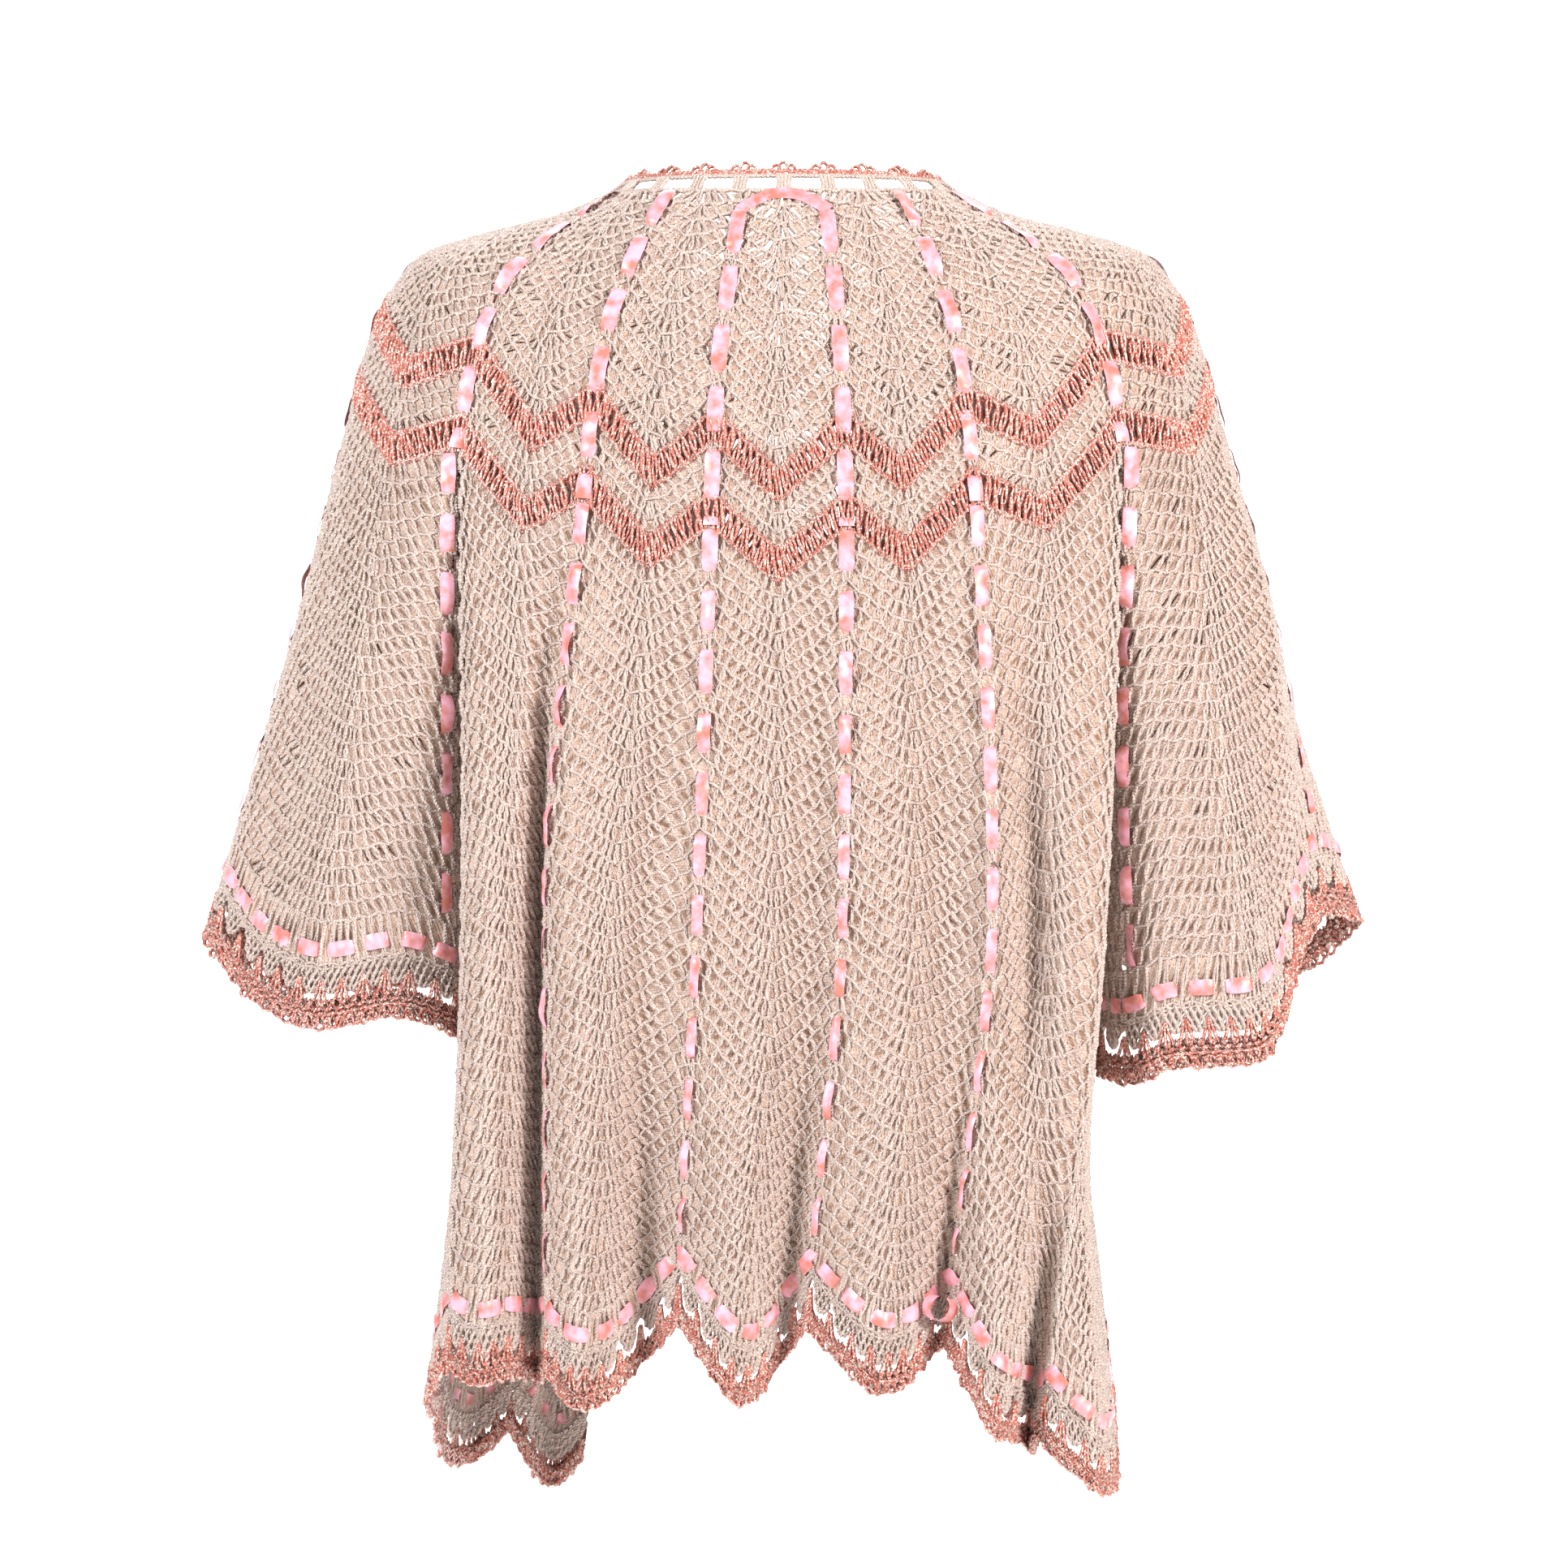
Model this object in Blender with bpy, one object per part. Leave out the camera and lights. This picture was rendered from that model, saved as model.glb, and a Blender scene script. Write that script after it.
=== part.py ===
"""Crochet bed jacket in its worn form: hollow, open down the front, with no wearer inside.

Metres, +Z up. The wearer's front faces -Y and their left is +X. The origin lies between the
shoulders at the height of the neck edge. Lines and gores are counted from the centre back:
gore 0 is the centre back, line 0.5 is the first valley of the zigzag to the wearer's left,
and the front edges are at lines 6.5 and -6.5.
"""

import functools
import math

import bpy
import numpy as np

# Cloth and trimmings
WALL = 0.0025
SEAM = 0.00035
RIBBON_WIDTH = 0.009
RIBBON_THICK = 0.001
RIBBON_LIFT = 0.001

# Crochet rows, measured from the neck edge along the cloth
EYELET_ROW = (0.0, 0.0125)
UPPER_SILK = (0.165, 0.183)
LOWER_SILK = (0.2105, 0.229)
SPLIT = LOWER_SILK[1]
BEAD_DROP = 0.0085
SHELL_DEPTH = 0.0155
CHAIN_DEPTH = 0.003
LEG_TOP = 0.0095
EDGING_TOP = 0.0225
HEM_PICOTS = (0.032, 0.0262)
CUFF_PICOTS = (0.036, 0.029)

# Gores: back from line -2.5 to 2.5, sleeves out to 4.5, fronts out to 6.5
BACK_LINE = 2.5
SLEEVE_LINE = 4.5
FRONT_LINE = 6.5
GORE_SHARES = (1.25, 1.25, 1.0, 1.0)
BODY_SIDE = 3.5
BODY_EDGE = 5.5
COLUMNS = 8
YOKE_COLUMNS = 4
SLEEVE_COLUMNS = 12
UNDERARM_COLUMNS = 8

# Depth of the zigzag, half of it, by distance from the neck edge
ZIGZAG = ((0.0125, 0.0), (0.045, 0.008), (0.08, 0.0145), (0.16, 0.016), (0.24, 0.0145))
HEM_ZIGZAG = 0.018

YOKE_NAMES = ("reach", "half_width", "back_y", "front_y", "back_z", "side_z", "front_z", "front_x", "gore")
YOKE_RINGS = (
    (-0.015, 0.088, 0.062, -0.074, 0.012, 0.012, -0.068, 0.028, 0.037),
    (0.000, 0.096, 0.070, -0.082, 0.000, 0.003, -0.084, 0.030, 0.041),
    (0.035, 0.127, 0.088, -0.100, -0.030, -0.014, -0.125, 0.036, 0.051),
    (0.080, 0.170, 0.103, -0.112, -0.0725, -0.025, -0.172, 0.044, 0.062),
    (0.125, 0.212, 0.112, -0.120, -0.1165, -0.039, -0.218, 0.052, 0.071),
    (0.170, 0.237, 0.117, -0.126, -0.161, -0.075, -0.262, 0.059, 0.076),
    (0.220, 0.251, 0.119, -0.131, -0.211, -0.122, -0.309, 0.065, 0.079),
    (0.260, 0.257, 0.120, -0.134, -0.251, -0.160, -0.347, 0.069, 0.081),
)

# How far each line lies off an even spread of the gores, towards the wearer's left
DRIFT_NAMES = ("line", "aside")
DRIFT = (
    (-6.5, 0.0045),
    (-3.5, 0.0045),
    (-3.0, -0.0060),
    (-2.5, -0.0095),
    (-2.0, 0.0055),
    (-1.5, 0.0085),
    (-1.0, 0.0105),
    (-0.5, 0.0045),
    (0.0, 0.0035),
    (0.5, 0.0015),
    (1.0, -0.0030),
    (1.5, -0.0035),
    (2.0, -0.0070),
    (2.5, 0.0005),
    (3.0, -0.0080),
    (3.5, 0.0045),
    (6.5, 0.0045),
)

# Crests and valleys of the body's folds, in plan, halfway down and at the hem
BODY_NAMES = ("line", "half_x", "half_y", "hem_x", "hem_y")
BODY_FOLDS = (
    (-5.50, -0.095, -0.128, -0.112, -0.118),
    (-5.00, -0.118, -0.134, -0.136, -0.127),
    (-4.60, -0.138, -0.121, -0.154, -0.098),
    (-4.20, -0.159, -0.116, -0.179, -0.103),
    (-3.80, -0.171, -0.080, -0.194, -0.060),
    (-3.50, -0.168, -0.045, -0.190, -0.015),
    (-3.10, -0.166, 0.020, -0.187, 0.060),
    (-2.80, -0.172, 0.072, -0.172, 0.112),
    (-2.50, -0.181, 0.100, -0.147, 0.106),
    (-2.15, -0.157, 0.113, -0.140, 0.084),
    (-1.85, -0.138, 0.101, -0.117, 0.131),
    (-1.50, -0.116, 0.124, -0.0935, 0.102),
    (-1.42, -0.110, 0.120, -0.0875, 0.093),
    (-1.19, -0.0905, 0.114, -0.072, 0.117),
    (-0.85, -0.062, 0.130, -0.047, 0.133),
    (-0.50, -0.0333, 0.126, -0.0155, 0.112),
    (-0.30, -0.0165, 0.119, -0.001, 0.096),
    (0.15, 0.018, 0.130, 0.030, 0.132),
    (0.50, 0.0473, 0.127, 0.058, 0.112),
    (0.75, 0.077, 0.118, 0.0805, 0.090),
    (0.95, 0.093, 0.126, 0.098, 0.116),
    (1.20, 0.110, 0.130, 0.115, 0.131),
    (1.50, 0.1325, 0.114, 0.1325, 0.112),
    (1.72, 0.1365, 0.091, 0.1395, 0.089),
    (1.95, 0.149, 0.116, 0.151, 0.116),
    (2.20, 0.164, 0.122, 0.166, 0.131),
    (2.50, 0.181, 0.098, 0.186, 0.116),
    (2.80, 0.169, 0.058, 0.198, 0.082),
    (3.10, 0.166, 0.010, 0.197, 0.036),
    (3.50, 0.168, -0.045, 0.201, -0.018),
    (3.80, 0.171, -0.080, 0.203, -0.060),
    (4.20, 0.159, -0.116, 0.186, -0.108),
    (4.60, 0.138, -0.121, 0.158, -0.098),
    (5.00, 0.118, -0.134, 0.142, -0.127),
    (5.50, 0.095, -0.128, 0.120, -0.118),
)
# Height of the middle of the hem's ribbon row, without the zigzag
HEM_NAMES = ("line", "height")
HEM_HEIGHTS = (
    (-5.5, -0.676),
    (-4.0, -0.681),
    (-3.0, -0.688),
    (-2.5, -0.690),
    (-2.0, -0.657),
    (-1.5, -0.640),
    (-1.0, -0.626),
    (-0.5, -0.628),
    (0.0, -0.633),
    (0.5, -0.626),
    (1.0, -0.633),
    (1.5, -0.652),
    (2.0, -0.618),
    (2.5, -0.647),
    (3.0, -0.650),
    (3.5, -0.680),
    (4.0, -0.702),
    (4.5, -0.718),
    (5.0, -0.720),
    (5.5, -0.738),
)

# Sleeves: 0 is the line at the back of the arm, 1 the outer line, 2 the line at the front,
# 3 the first line again after the part under the arm. cuff_z is the cuff's ribbon row.
SLEEVE_NAMES = ("place", "half_x", "half_y", "cuff_x", "cuff_y", "cuff_z")
SLEEVE_LEFT = (
    (0.00, 0.187, 0.074, 0.186, 0.070, -0.4457),
    (0.20, 0.209, 0.085, 0.217, 0.082, -0.4340),
    (0.50, 0.243, 0.079, 0.261, 0.076, -0.4410),
    (0.75, 0.268, 0.052, 0.298, 0.050, -0.4280),
    (1.00, 0.2860, 0.006, 0.328, 0.005, -0.3930),
    (1.25, 0.2790, -0.038, 0.317, -0.042, -0.4060),
    (1.50, 0.264, -0.066, 0.285, -0.071, -0.4280),
    (1.75, 0.233, -0.078, 0.247, -0.083, -0.4260),
    (2.00, 0.205, -0.072, 0.211, -0.076, -0.4240),
    (2.33, 0.183, -0.042, 0.185, -0.043, -0.4420),
    (2.67, 0.177, 0.006, 0.178, 0.008, -0.4520),
    (2.88, 0.179, 0.048, 0.179, 0.045, -0.4500),
)
SLEEVE_RIGHT = (
    (0.00, 0.188, 0.074, 0.193, 0.070, -0.4733),
    (0.20, 0.210, 0.086, 0.219, 0.084, -0.4630),
    (0.50, 0.245, 0.082, 0.262, 0.085, -0.4600),
    (0.70, 0.269, 0.063, 0.281, 0.066, -0.4450),
    (0.85, 0.285, 0.036, 0.295, 0.036, -0.4050),
    (1.00, 0.2860, 0.006, 0.3107, 0.006, -0.3790),
    (1.20, 0.2860, -0.030, 0.330, -0.030, -0.3860),
    (1.50, 0.266, -0.065, 0.299, -0.068, -0.4180),
    (1.75, 0.234, -0.078, 0.254, -0.084, -0.4260),
    (2.00, 0.206, -0.072, 0.214, -0.077, -0.4300),
    (2.33, 0.184, -0.042, 0.187, -0.043, -0.4500),
    (2.67, 0.178, 0.006, 0.180, 0.008, -0.4650),
    (2.88, 0.180, 0.048, 0.183, 0.045, -0.4720),
)
ARMPIT_IN = 0.020
ARMPIT_DROP = 0.040
ARMPIT_GAP = 0.0012
CORNER_IN = 0.012
CORNER_DROP = 0.0012

YOKE_ROWS = 4
BODY_ROWS = 6
SLEEVE_ROWS = 5

# Colours of the yarns and the ribbon
CREAM = (0.745, 0.597, 0.479)
SILK = (0.672, 0.223, 0.171)
SATIN = (0.871, 0.376, 0.376)


def column(table, names, name):
    return np.array([row[names.index(name)] for row in table])


def slopes(knots, values):
    """Slopes of a smooth curve that never swings past the values it goes through."""
    step = np.diff(knots)
    rise = np.diff(values) / step
    result = np.empty_like(values)
    result[0] = rise[0]
    result[-1] = rise[-1]
    before = 2 * step[1:] + step[:-1]
    after = step[1:] + 2 * step[:-1]
    same = rise[:-1] * rise[1:] > 0
    safe_left = np.where(same, rise[:-1], 1.0)
    safe_right = np.where(same, rise[1:], 1.0)
    mean = (before + after) / (before / safe_left + after / safe_right)
    result[1:-1] = np.where(same, mean, 0.0)
    return result


def through(knots, values, at, slope=None):
    """The smooth curve through the values, straight on past both ends."""
    knots = np.asarray(knots, float)
    values = np.asarray(values, float)
    slope = slopes(knots, values) if slope is None else slope
    if at <= knots[0]:
        return values[0] + slope[0] * (at - knots[0])
    if at >= knots[-1]:
        return values[-1] + slope[-1] * (at - knots[-1])
    i = int(np.searchsorted(knots, at, side="right")) - 1
    step = knots[i + 1] - knots[i]
    f = (at - knots[i]) / step
    ease = f * f * (3 - 2 * f)
    out = f * (1 - f) * (1 - f) * step * slope[i]
    into = f * f * (1 - f) * step * slope[i + 1]
    return values[i] * (1 - ease) + values[i + 1] * ease + out - into


class Table:
    """Smooth curves through the columns of a short table, by its first column."""

    def __init__(self, names, rows):
        self.knots = column(rows, names, names[0])
        self.columns = {name: column(rows, names, name) for name in names[1:]}
        self.slopes = {name: slopes(self.knots, v) for name, v in self.columns.items()}

    def at(self, name, where):
        return through(self.knots, self.columns[name], where, self.slopes[name])


def ring_table(names, rows):
    """A table of places round a closed ring: its first row comes again at 3."""
    period = 3.0
    before = (rows[-1][0] - period,) + rows[-1][1:]
    again = (rows[0][0] + period,) + rows[0][1:]
    after = (rows[1][0] + period,) + rows[1][1:]
    return Table(names, (before,) + tuple(rows) + (again, after))


YOKE = Table(YOKE_NAMES, YOKE_RINGS)
BODY = Table(BODY_NAMES, BODY_FOLDS)
HEM = Table(HEM_NAMES, HEM_HEIGHTS)
LINE_DRIFT = Table(DRIFT_NAMES, DRIFT)
SLEEVES = {1: ring_table(SLEEVE_NAMES, SLEEVE_LEFT), -1: ring_table(SLEEVE_NAMES, SLEEVE_RIGHT)}
ZIGZAG_TABLE = Table(("reach", "half"), ZIGZAG)


def tooth(line):
    """The zigzag: 1 at the middle of a gore, its lowest point, and -1 at a valley line."""
    return 1 - 4 * abs(line - round(line))


def zigzag(line, reach):
    top = ZIGZAG[0][0]
    if reach <= top:
        return 0.0
    half = ZIGZAG_TABLE.at("half", min(reach, ZIGZAG[-1][0]))
    return half * tooth(line)


@functools.lru_cache(maxsize=None)
def yoke_ring(reach):
    """Half a ring of the yoke, from the centre back round to the centre front."""
    size = {name: float(YOKE.at(name, reach)) for name in YOKE_NAMES[1:]}
    turn = np.linspace(0, math.pi, 241)
    back = turn <= math.pi / 2
    across = np.sin(turn)
    along = np.abs(np.cos(turn))
    x = size["half_width"] * across
    y = np.where(back, size["back_y"], size["front_y"]) * along
    z = np.where(back, size["back_z"], size["front_z"]) * along**2 + size["side_z"] * across**2
    points = np.stack([x, y, z], axis=1)
    steps = np.linalg.norm(np.diff(points, axis=0), axis=1)
    length = np.concatenate([[0.0], np.cumsum(steps)])
    front = ~back
    edge = np.interp(-size["front_x"], -x[front], length[front])
    return points, length, edge, size["gore"]


def gore_length(line, edge, gore):
    """Length along a ring from the centre back to a line."""
    if line <= BACK_LINE:
        return line * gore
    rest = edge - BACK_LINE * gore
    past = line - BACK_LINE
    whole = int(min(past, len(GORE_SHARES) - 1))
    share = sum(GORE_SHARES[:whole]) + GORE_SHARES[whole] * (past - whole)
    return BACK_LINE * gore + rest * share / sum(GORE_SHARES)


def on_yoke(line, reach):
    """A point of the yoke's outer face."""
    points, length, edge, gore = yoke_ring(round(float(reach), 6))
    along = math.copysign(gore_length(abs(line), edge, gore), line)
    along += LINE_DRIFT.at("aside", line) * min(1.0, max(0.0, reach) / UPPER_SILK[0])
    side = 1 if along >= 0 else -1
    found = [np.interp(abs(along), length, points[:, k]) for k in range(3)]
    return np.array([side * found[0], found[1], found[2]])


def yoke_point(line, reach):
    """A point of a row of the yoke, with its zigzag."""
    return on_yoke(line, reach + zigzag(line, reach))


def yoke_line(line):
    """The yoke's line that a line of the body hangs from, past the side the next front one."""
    return math.copysign(abs(line) + (FRONT_LINE - BODY_EDGE), line)


def armpit(side, share, above=0.0):
    """The curve under the arm, from the back line (0) to the front line (1)."""
    back = yoke_point(side * BACK_LINE, SPLIT - above)
    front = yoke_point(side * SLEEVE_LINE, SPLIT - above)
    point = back + (front - back) * share
    bow = math.sin(math.pi * share)
    point[0] -= side * ARMPIT_IN * bow
    point[2] -= ARMPIT_DROP * bow
    return point


def body_top(line, above=0.0):
    """The upper edge of the body, or the cloth that distance above it."""
    side = math.copysign(1, line)
    if abs(line) <= BACK_LINE:
        return yoke_point(line, SPLIT - above)
    if abs(line) >= BODY_SIDE:
        return yoke_point(yoke_line(line), SPLIT - above)
    share = (abs(line) - BACK_LINE) / (BODY_SIDE - BACK_LINE)
    point = armpit(side, share, above)
    point[0] -= side * ARMPIT_GAP * math.sin(math.pi * share)
    return point


ABOVE = 0.03
LEVELS = (-0.07, 0.0, 0.5, 1.0)


@functools.lru_cache(maxsize=None)
def body_column(line):
    """The four points that a lengthwise line of the body runs through, and its slopes."""
    above = body_top(line, ABOVE)
    top = body_top(line)
    bottom = HEM.at("height", line) - HEM_ZIGZAG * tooth(line) - BEAD_DROP
    half = [BODY.at("half_x", line), BODY.at("half_y", line), (top[2] + bottom) / 2]
    hem = [BODY.at("hem_x", line), BODY.at("hem_y", line), bottom]
    points = np.array([above, top, half, hem])
    knots = np.array(LEVELS)
    return points, [slopes(knots, points[:, k]) for k in range(3)]


def body_point(line, level):
    """A point of the body's outer face: level 0 is its upper edge and 1 its lower one."""
    points, slope = body_column(round(float(line), 6))
    return np.array([through(LEVELS, points[:, k], level, slope[k]) for k in range(3)])


def sleeve_top(side, place, above=0.0):
    """The upper edge of a sleeve; its two corners at the body keep a little lower and clear."""
    if place <= 2:
        corner = min(place, 2 - place) < 0.001
        inside = min(2 - CORNER_IN, max(CORNER_IN, place))
        return yoke_point(side * (BACK_LINE + inside), SPLIT - above + corner * CORNER_DROP)
    point = armpit(side, 3 - place, above)
    point[0] += side * ARMPIT_GAP * (0.3 + math.sin(math.pi * (3 - place)))
    return point


@functools.lru_cache(maxsize=None)
def sleeve_column(side, place):
    table = SLEEVES[side]
    above = sleeve_top(side, place, ABOVE)
    top = sleeve_top(side, place)
    bottom = table.at("cuff_z", place) - BEAD_DROP
    half = [side * table.at("half_x", place), table.at("half_y", place), (top[2] + bottom) / 2]
    cuff = [side * table.at("cuff_x", place), table.at("cuff_y", place), bottom]
    points = np.array([above, top, half, cuff])
    knots = np.array(LEVELS)
    return points, [slopes(knots, points[:, k]) for k in range(3)]


def sleeve_point(side, place, level):
    """A point of a sleeve's outer face."""
    points, slope = sleeve_column(side, round(float(place) % 3.0, 6) % 3.0)
    return np.array([through(LEVELS, points[:, k], level, slope[k]) for k in range(3)])


MOST_MITRE = 1.5


def unit(vector):
    return vector / np.linalg.norm(vector)


def normal_of(surface, u, v, du=0.04, dv=0.02):
    """The outward direction midway between a surface's facets on both sides of a point.

    At a fold it's longer than 1, so that a wall through it keeps its thickness.
    """
    here = surface(u, v)
    down = surface(u, v + dv) - surface(u, v - dv)
    before = unit(np.cross(here - surface(u - du, v), down))
    after = unit(np.cross(surface(u + du, v) - here, down))
    middle = unit(before + after)
    return middle * min(MOST_MITRE, 1 / float(np.dot(middle, after)))


def yoke_normal(line, reach):
    edge = FRONT_LINE - 0.04
    inside = max(-edge, min(edge, line))
    return normal_of(lambda u, v: on_yoke(u, v), inside, reach + zigzag(line, reach), 0.04, 0.004)


def body_normal(line, level):
    under_yoke = abs(line) <= BACK_LINE or abs(line) >= BODY_SIDE
    if level < 0.001 and under_yoke:
        return yoke_normal(line if abs(line) <= BACK_LINE else yoke_line(line), SPLIT)
    return normal_of(body_point, line, level, 1 / COLUMNS, 0.01)


def sleeve_normal(side, place, level):
    if level < 0.001 and 0.001 < place < 1.999:
        return yoke_normal(side * (BACK_LINE + place), SPLIT)
    spread = 1 / SLEEVE_COLUMNS
    return side * normal_of(lambda u, v: sleeve_point(side, u, v), place, level, spread, 0.01)


def material(name, colour, roughness, sheen):
    made = bpy.data.materials.new(name)
    made.use_nodes = True
    shader = made.node_tree.nodes["Principled BSDF"]
    shader.inputs["Base Color"].default_value = (*colour, 1.0)
    shader.inputs["Roughness"].default_value = roughness
    shader.inputs["Metallic"].default_value = 0.0
    shader.inputs["Sheen Weight"].default_value = sheen
    return made


# A rim's faces part along the diagonal from its higher outer corner, so that the rims on both
# sides of a seam stay parallel
DIAGONAL_ORDER = np.array([0.13, 0.37, 1.0])


def halves(face, points, outward, raised):
    """A four-sided face as two triangles, folded outward if raised, or else inward."""
    if len(face) != 4:
        return [face]
    a, b, c, d = face
    height = np.dot(points[a] + points[c] - points[b] - points[d], outward[a])
    if (height > 0) == raised:
        return [[a, b, c], [a, c, d]]
    return [[b, c, d], [b, d, a]]


def thick_object(name, points, outward, faces, thickness, finish, raised=False):
    """A closed wall: the faces, the same faces a thickness further in, and its rims."""
    points = np.asarray(points)
    outward = np.asarray(outward)
    inner = points - outward * thickness
    count = len(points)
    facing = 0.0
    for face in faces:
        spread = np.cross(points[face[1]] - points[face[0]], points[face[-1]] - points[face[0]])
        facing += float(np.dot(spread, outward[face[0]]))
    if facing < 0:
        faces = [face[::-1] for face in faces]
    faces = [part for face in faces for part in halves(face, points, outward, raised)]
    directed = {}
    for face in faces:
        for start, end in zip(face, face[1:] + face[:1]):
            directed[(start, end)] = True
    rims = []
    order = points @ DIAGONAL_ORDER
    for start, end in directed:
        if (end, start) in directed:
            continue
        if order[start] > order[end]:
            rims += [(end, start, end + count), (start, start + count, end + count)]
        else:
            rims += [(end, start, start + count), (end, start + count, end + count)]
    backs = [tuple(i + count for i in reversed(face)) for face in faces]
    mesh = bpy.data.meshes.new(name)
    everything = np.concatenate([points, inner])
    mesh.from_pydata(everything.tolist(), [], [tuple(f) for f in faces] + backs + rims)
    mesh.validate()
    mesh.shade_smooth()
    mesh.set_sharp_from_angle(angle=math.radians(50))
    made = bpy.data.objects.new(name, mesh)
    made.data.materials.append(finish)
    JACKET.objects.link(made)
    return made


def row_faces(upper, lower, first_upper, first_lower, wrap):
    """Faces between two rows of places, where the lower row may hold more of them."""
    faces = []
    wide = len(upper) if wrap else len(upper) - 1
    if len(upper) == len(lower):
        for i in range(wide):
            j = (i + 1) % len(upper)
            faces.append([first_upper + i, first_upper + j, first_lower + j, first_lower + i])
        return faces
    matching = [int(np.argmin(np.abs(np.array(lower) - place))) for place in upper]
    for i in range(wide):
        left = first_upper + i
        right = left + 1
        below = [first_lower + j for j in range(matching[i], matching[i + 1] + 1)]
        middle = (len(below) - 1) // 2
        for j in range(middle):
            faces.append([left, below[j + 1], below[j]])
        faces.append([left, right, below[middle]])
        for j in range(middle, len(below) - 1):
            faces.append([right, below[j + 1], below[j]])
    return faces


def towards(start, end, distance):
    return start + (end - start) * (distance / np.linalg.norm(end - start))


def panel(name, rows, levels, point, outward, finish, wrap=False, raised=True):
    """A wall through the points of a surface, a row of places for each level.

    Its edges keep half a seam inside the lines that it shares with its neighbours.
    """
    grid = [[point(u, v) for u in places] for places, v in zip(rows, levels)]
    directions = [outward(u, v) for places, v in zip(rows, levels) for u in places]
    moved = [list(row) for row in grid]
    if not wrap:
        for row, cut in zip(grid, moved):
            cut[0] = towards(row[0], row[1], SEAM / 2)
            cut[-1] = towards(row[-1], row[-2], SEAM / 2)
    points = []
    for i, (places, row) in enumerate(zip(rows, moved)):
        if i in (0, len(rows) - 1):
            other = 1 if i == 0 else len(rows) - 2
            way = 1 if i == 0 else -1
            step = abs(levels[other] - levels[i]) * 0.2 * way
            for k, place in enumerate(places):
                ahead = point(place, levels[i] + step) - grid[i][k]
                row[k] = row[k] + ahead * (SEAM / 2 / np.linalg.norm(ahead))
        points += row
    faces = []
    start = 0
    for upper, lower in zip(rows, rows[1:]):
        faces += row_faces(upper, lower, start, start + len(upper), wrap)
        start += len(upper)
    return thick_object(name, points, directions, faces, WALL, finish, raised)


def even_lines(first, last, per_gore):
    return list(np.linspace(first, last, round((last - first) * per_gore) + 1))


def split_lines():
    """The lines of the last yoke row's lower edge, where the body and the sleeves hang."""
    lines = set()
    for line in even_lines(-FRONT_LINE, FRONT_LINE, COLUMNS):
        if not BACK_LINE < abs(line) < SLEEVE_LINE:
            lines.add(round(float(line), 6))
    for place in sleeve_places():
        if 0 < place < 2:
            lines.add(round(BACK_LINE + place, 6))
            lines.add(round(-BACK_LINE - place, 6))
    return sorted(lines)


def sleeve_places():
    wide = even_lines(0, 2, SLEEVE_COLUMNS)
    return wide + even_lines(2, 3, UNDERARM_COLUMNS)[1:-1]


def yoke_band(name, first, last, count, finish, lowest=None):
    rows = [even_lines(-FRONT_LINE, FRONT_LINE, YOKE_COLUMNS)] * (count + 1)
    if lowest:
        rows = rows[:-1] + [lowest]
    reaches = list(np.linspace(first, last, count + 1))
    panel(name, rows, reaches, yoke_point, yoke_normal, finish)


def make_yoke():
    yoke_band("yoke", EYELET_ROW[1], UPPER_SILK[0], YOKE_ROWS, CREAM_YARN)
    yoke_band("silk_row_upper", *UPPER_SILK, 1, SILK_YARN)
    yoke_band("yoke_middle", UPPER_SILK[1], LOWER_SILK[0], 1, CREAM_YARN)
    yoke_band("silk_row_lower", *LOWER_SILK, 1, SILK_YARN, split_lines())


# Share of a body line or a sleeve line that its last row, with the ribbon in it, takes up
BODY_LAST = 0.046
SLEEVE_LAST = 0.085


def body_levels():
    return list(np.linspace(0, 1 - BODY_LAST, BODY_ROWS + 1)) + [1.0]


def body_panel(name, first, last):
    levels = body_levels()
    rows = [even_lines(first, last, COLUMNS)] * len(levels)
    panel(name, rows, levels, body_point, body_normal, CREAM_YARN, raised=False)


def make_body():
    body_panel("back_panel", -BACK_LINE, BACK_LINE)
    body_panel("gusset_left", BACK_LINE, BODY_SIDE)
    body_panel("gusset_right", -BODY_SIDE, -BACK_LINE)
    body_panel("front_left", BODY_SIDE, BODY_EDGE)
    body_panel("front_right", -BODY_EDGE, -BODY_SIDE)


def sleeve_levels():
    return list(np.linspace(0, 1 - SLEEVE_LAST, SLEEVE_ROWS + 1)) + [1.0]


def make_sleeves():
    levels = sleeve_levels()
    for side, name in ((1, "sleeve_left"), (-1, "sleeve_right")):
        panel(
            name,
            [sleeve_places()] * len(levels),
            levels,
            functools.partial(sleeve_point, side),
            functools.partial(sleeve_normal, side),
            CREAM_YARN,
            wrap=True,
        )


class Edge:
    """The lower edge of a panel, in flat stretches between its columns."""

    def __init__(self, places, point, outward, above, wrap=False):
        self.places = list(places)
        self.point = point
        self.outward = outward
        self.above = above
        self.wrap = wrap
        self.stretches = len(self.places) if wrap else len(self.places) - 1

    @functools.lru_cache(maxsize=None)
    def corner(self, index):
        place = self.places[index % len(self.places)]
        low = self.point(place, 1.0)
        high = self.point(place, self.above)
        down = (low - high) / np.linalg.norm(low - high)
        return low, down, self.outward(place, 1.0)

    def at(self, where, distance):
        """The point that far below the edge, and the outward direction there."""
        first = math.floor(where)
        if not self.wrap:
            first = max(0, min(self.stretches - 1, first))
        share = where - first
        low_a, down_a, out_a = self.corner(first)
        low_b, down_b, out_b = self.corner(first + 1)
        point = (low_a + down_a * distance) * (1 - share) + (low_b + down_b * distance) * share
        return point, out_a * (1 - share) + out_b * share


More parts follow.
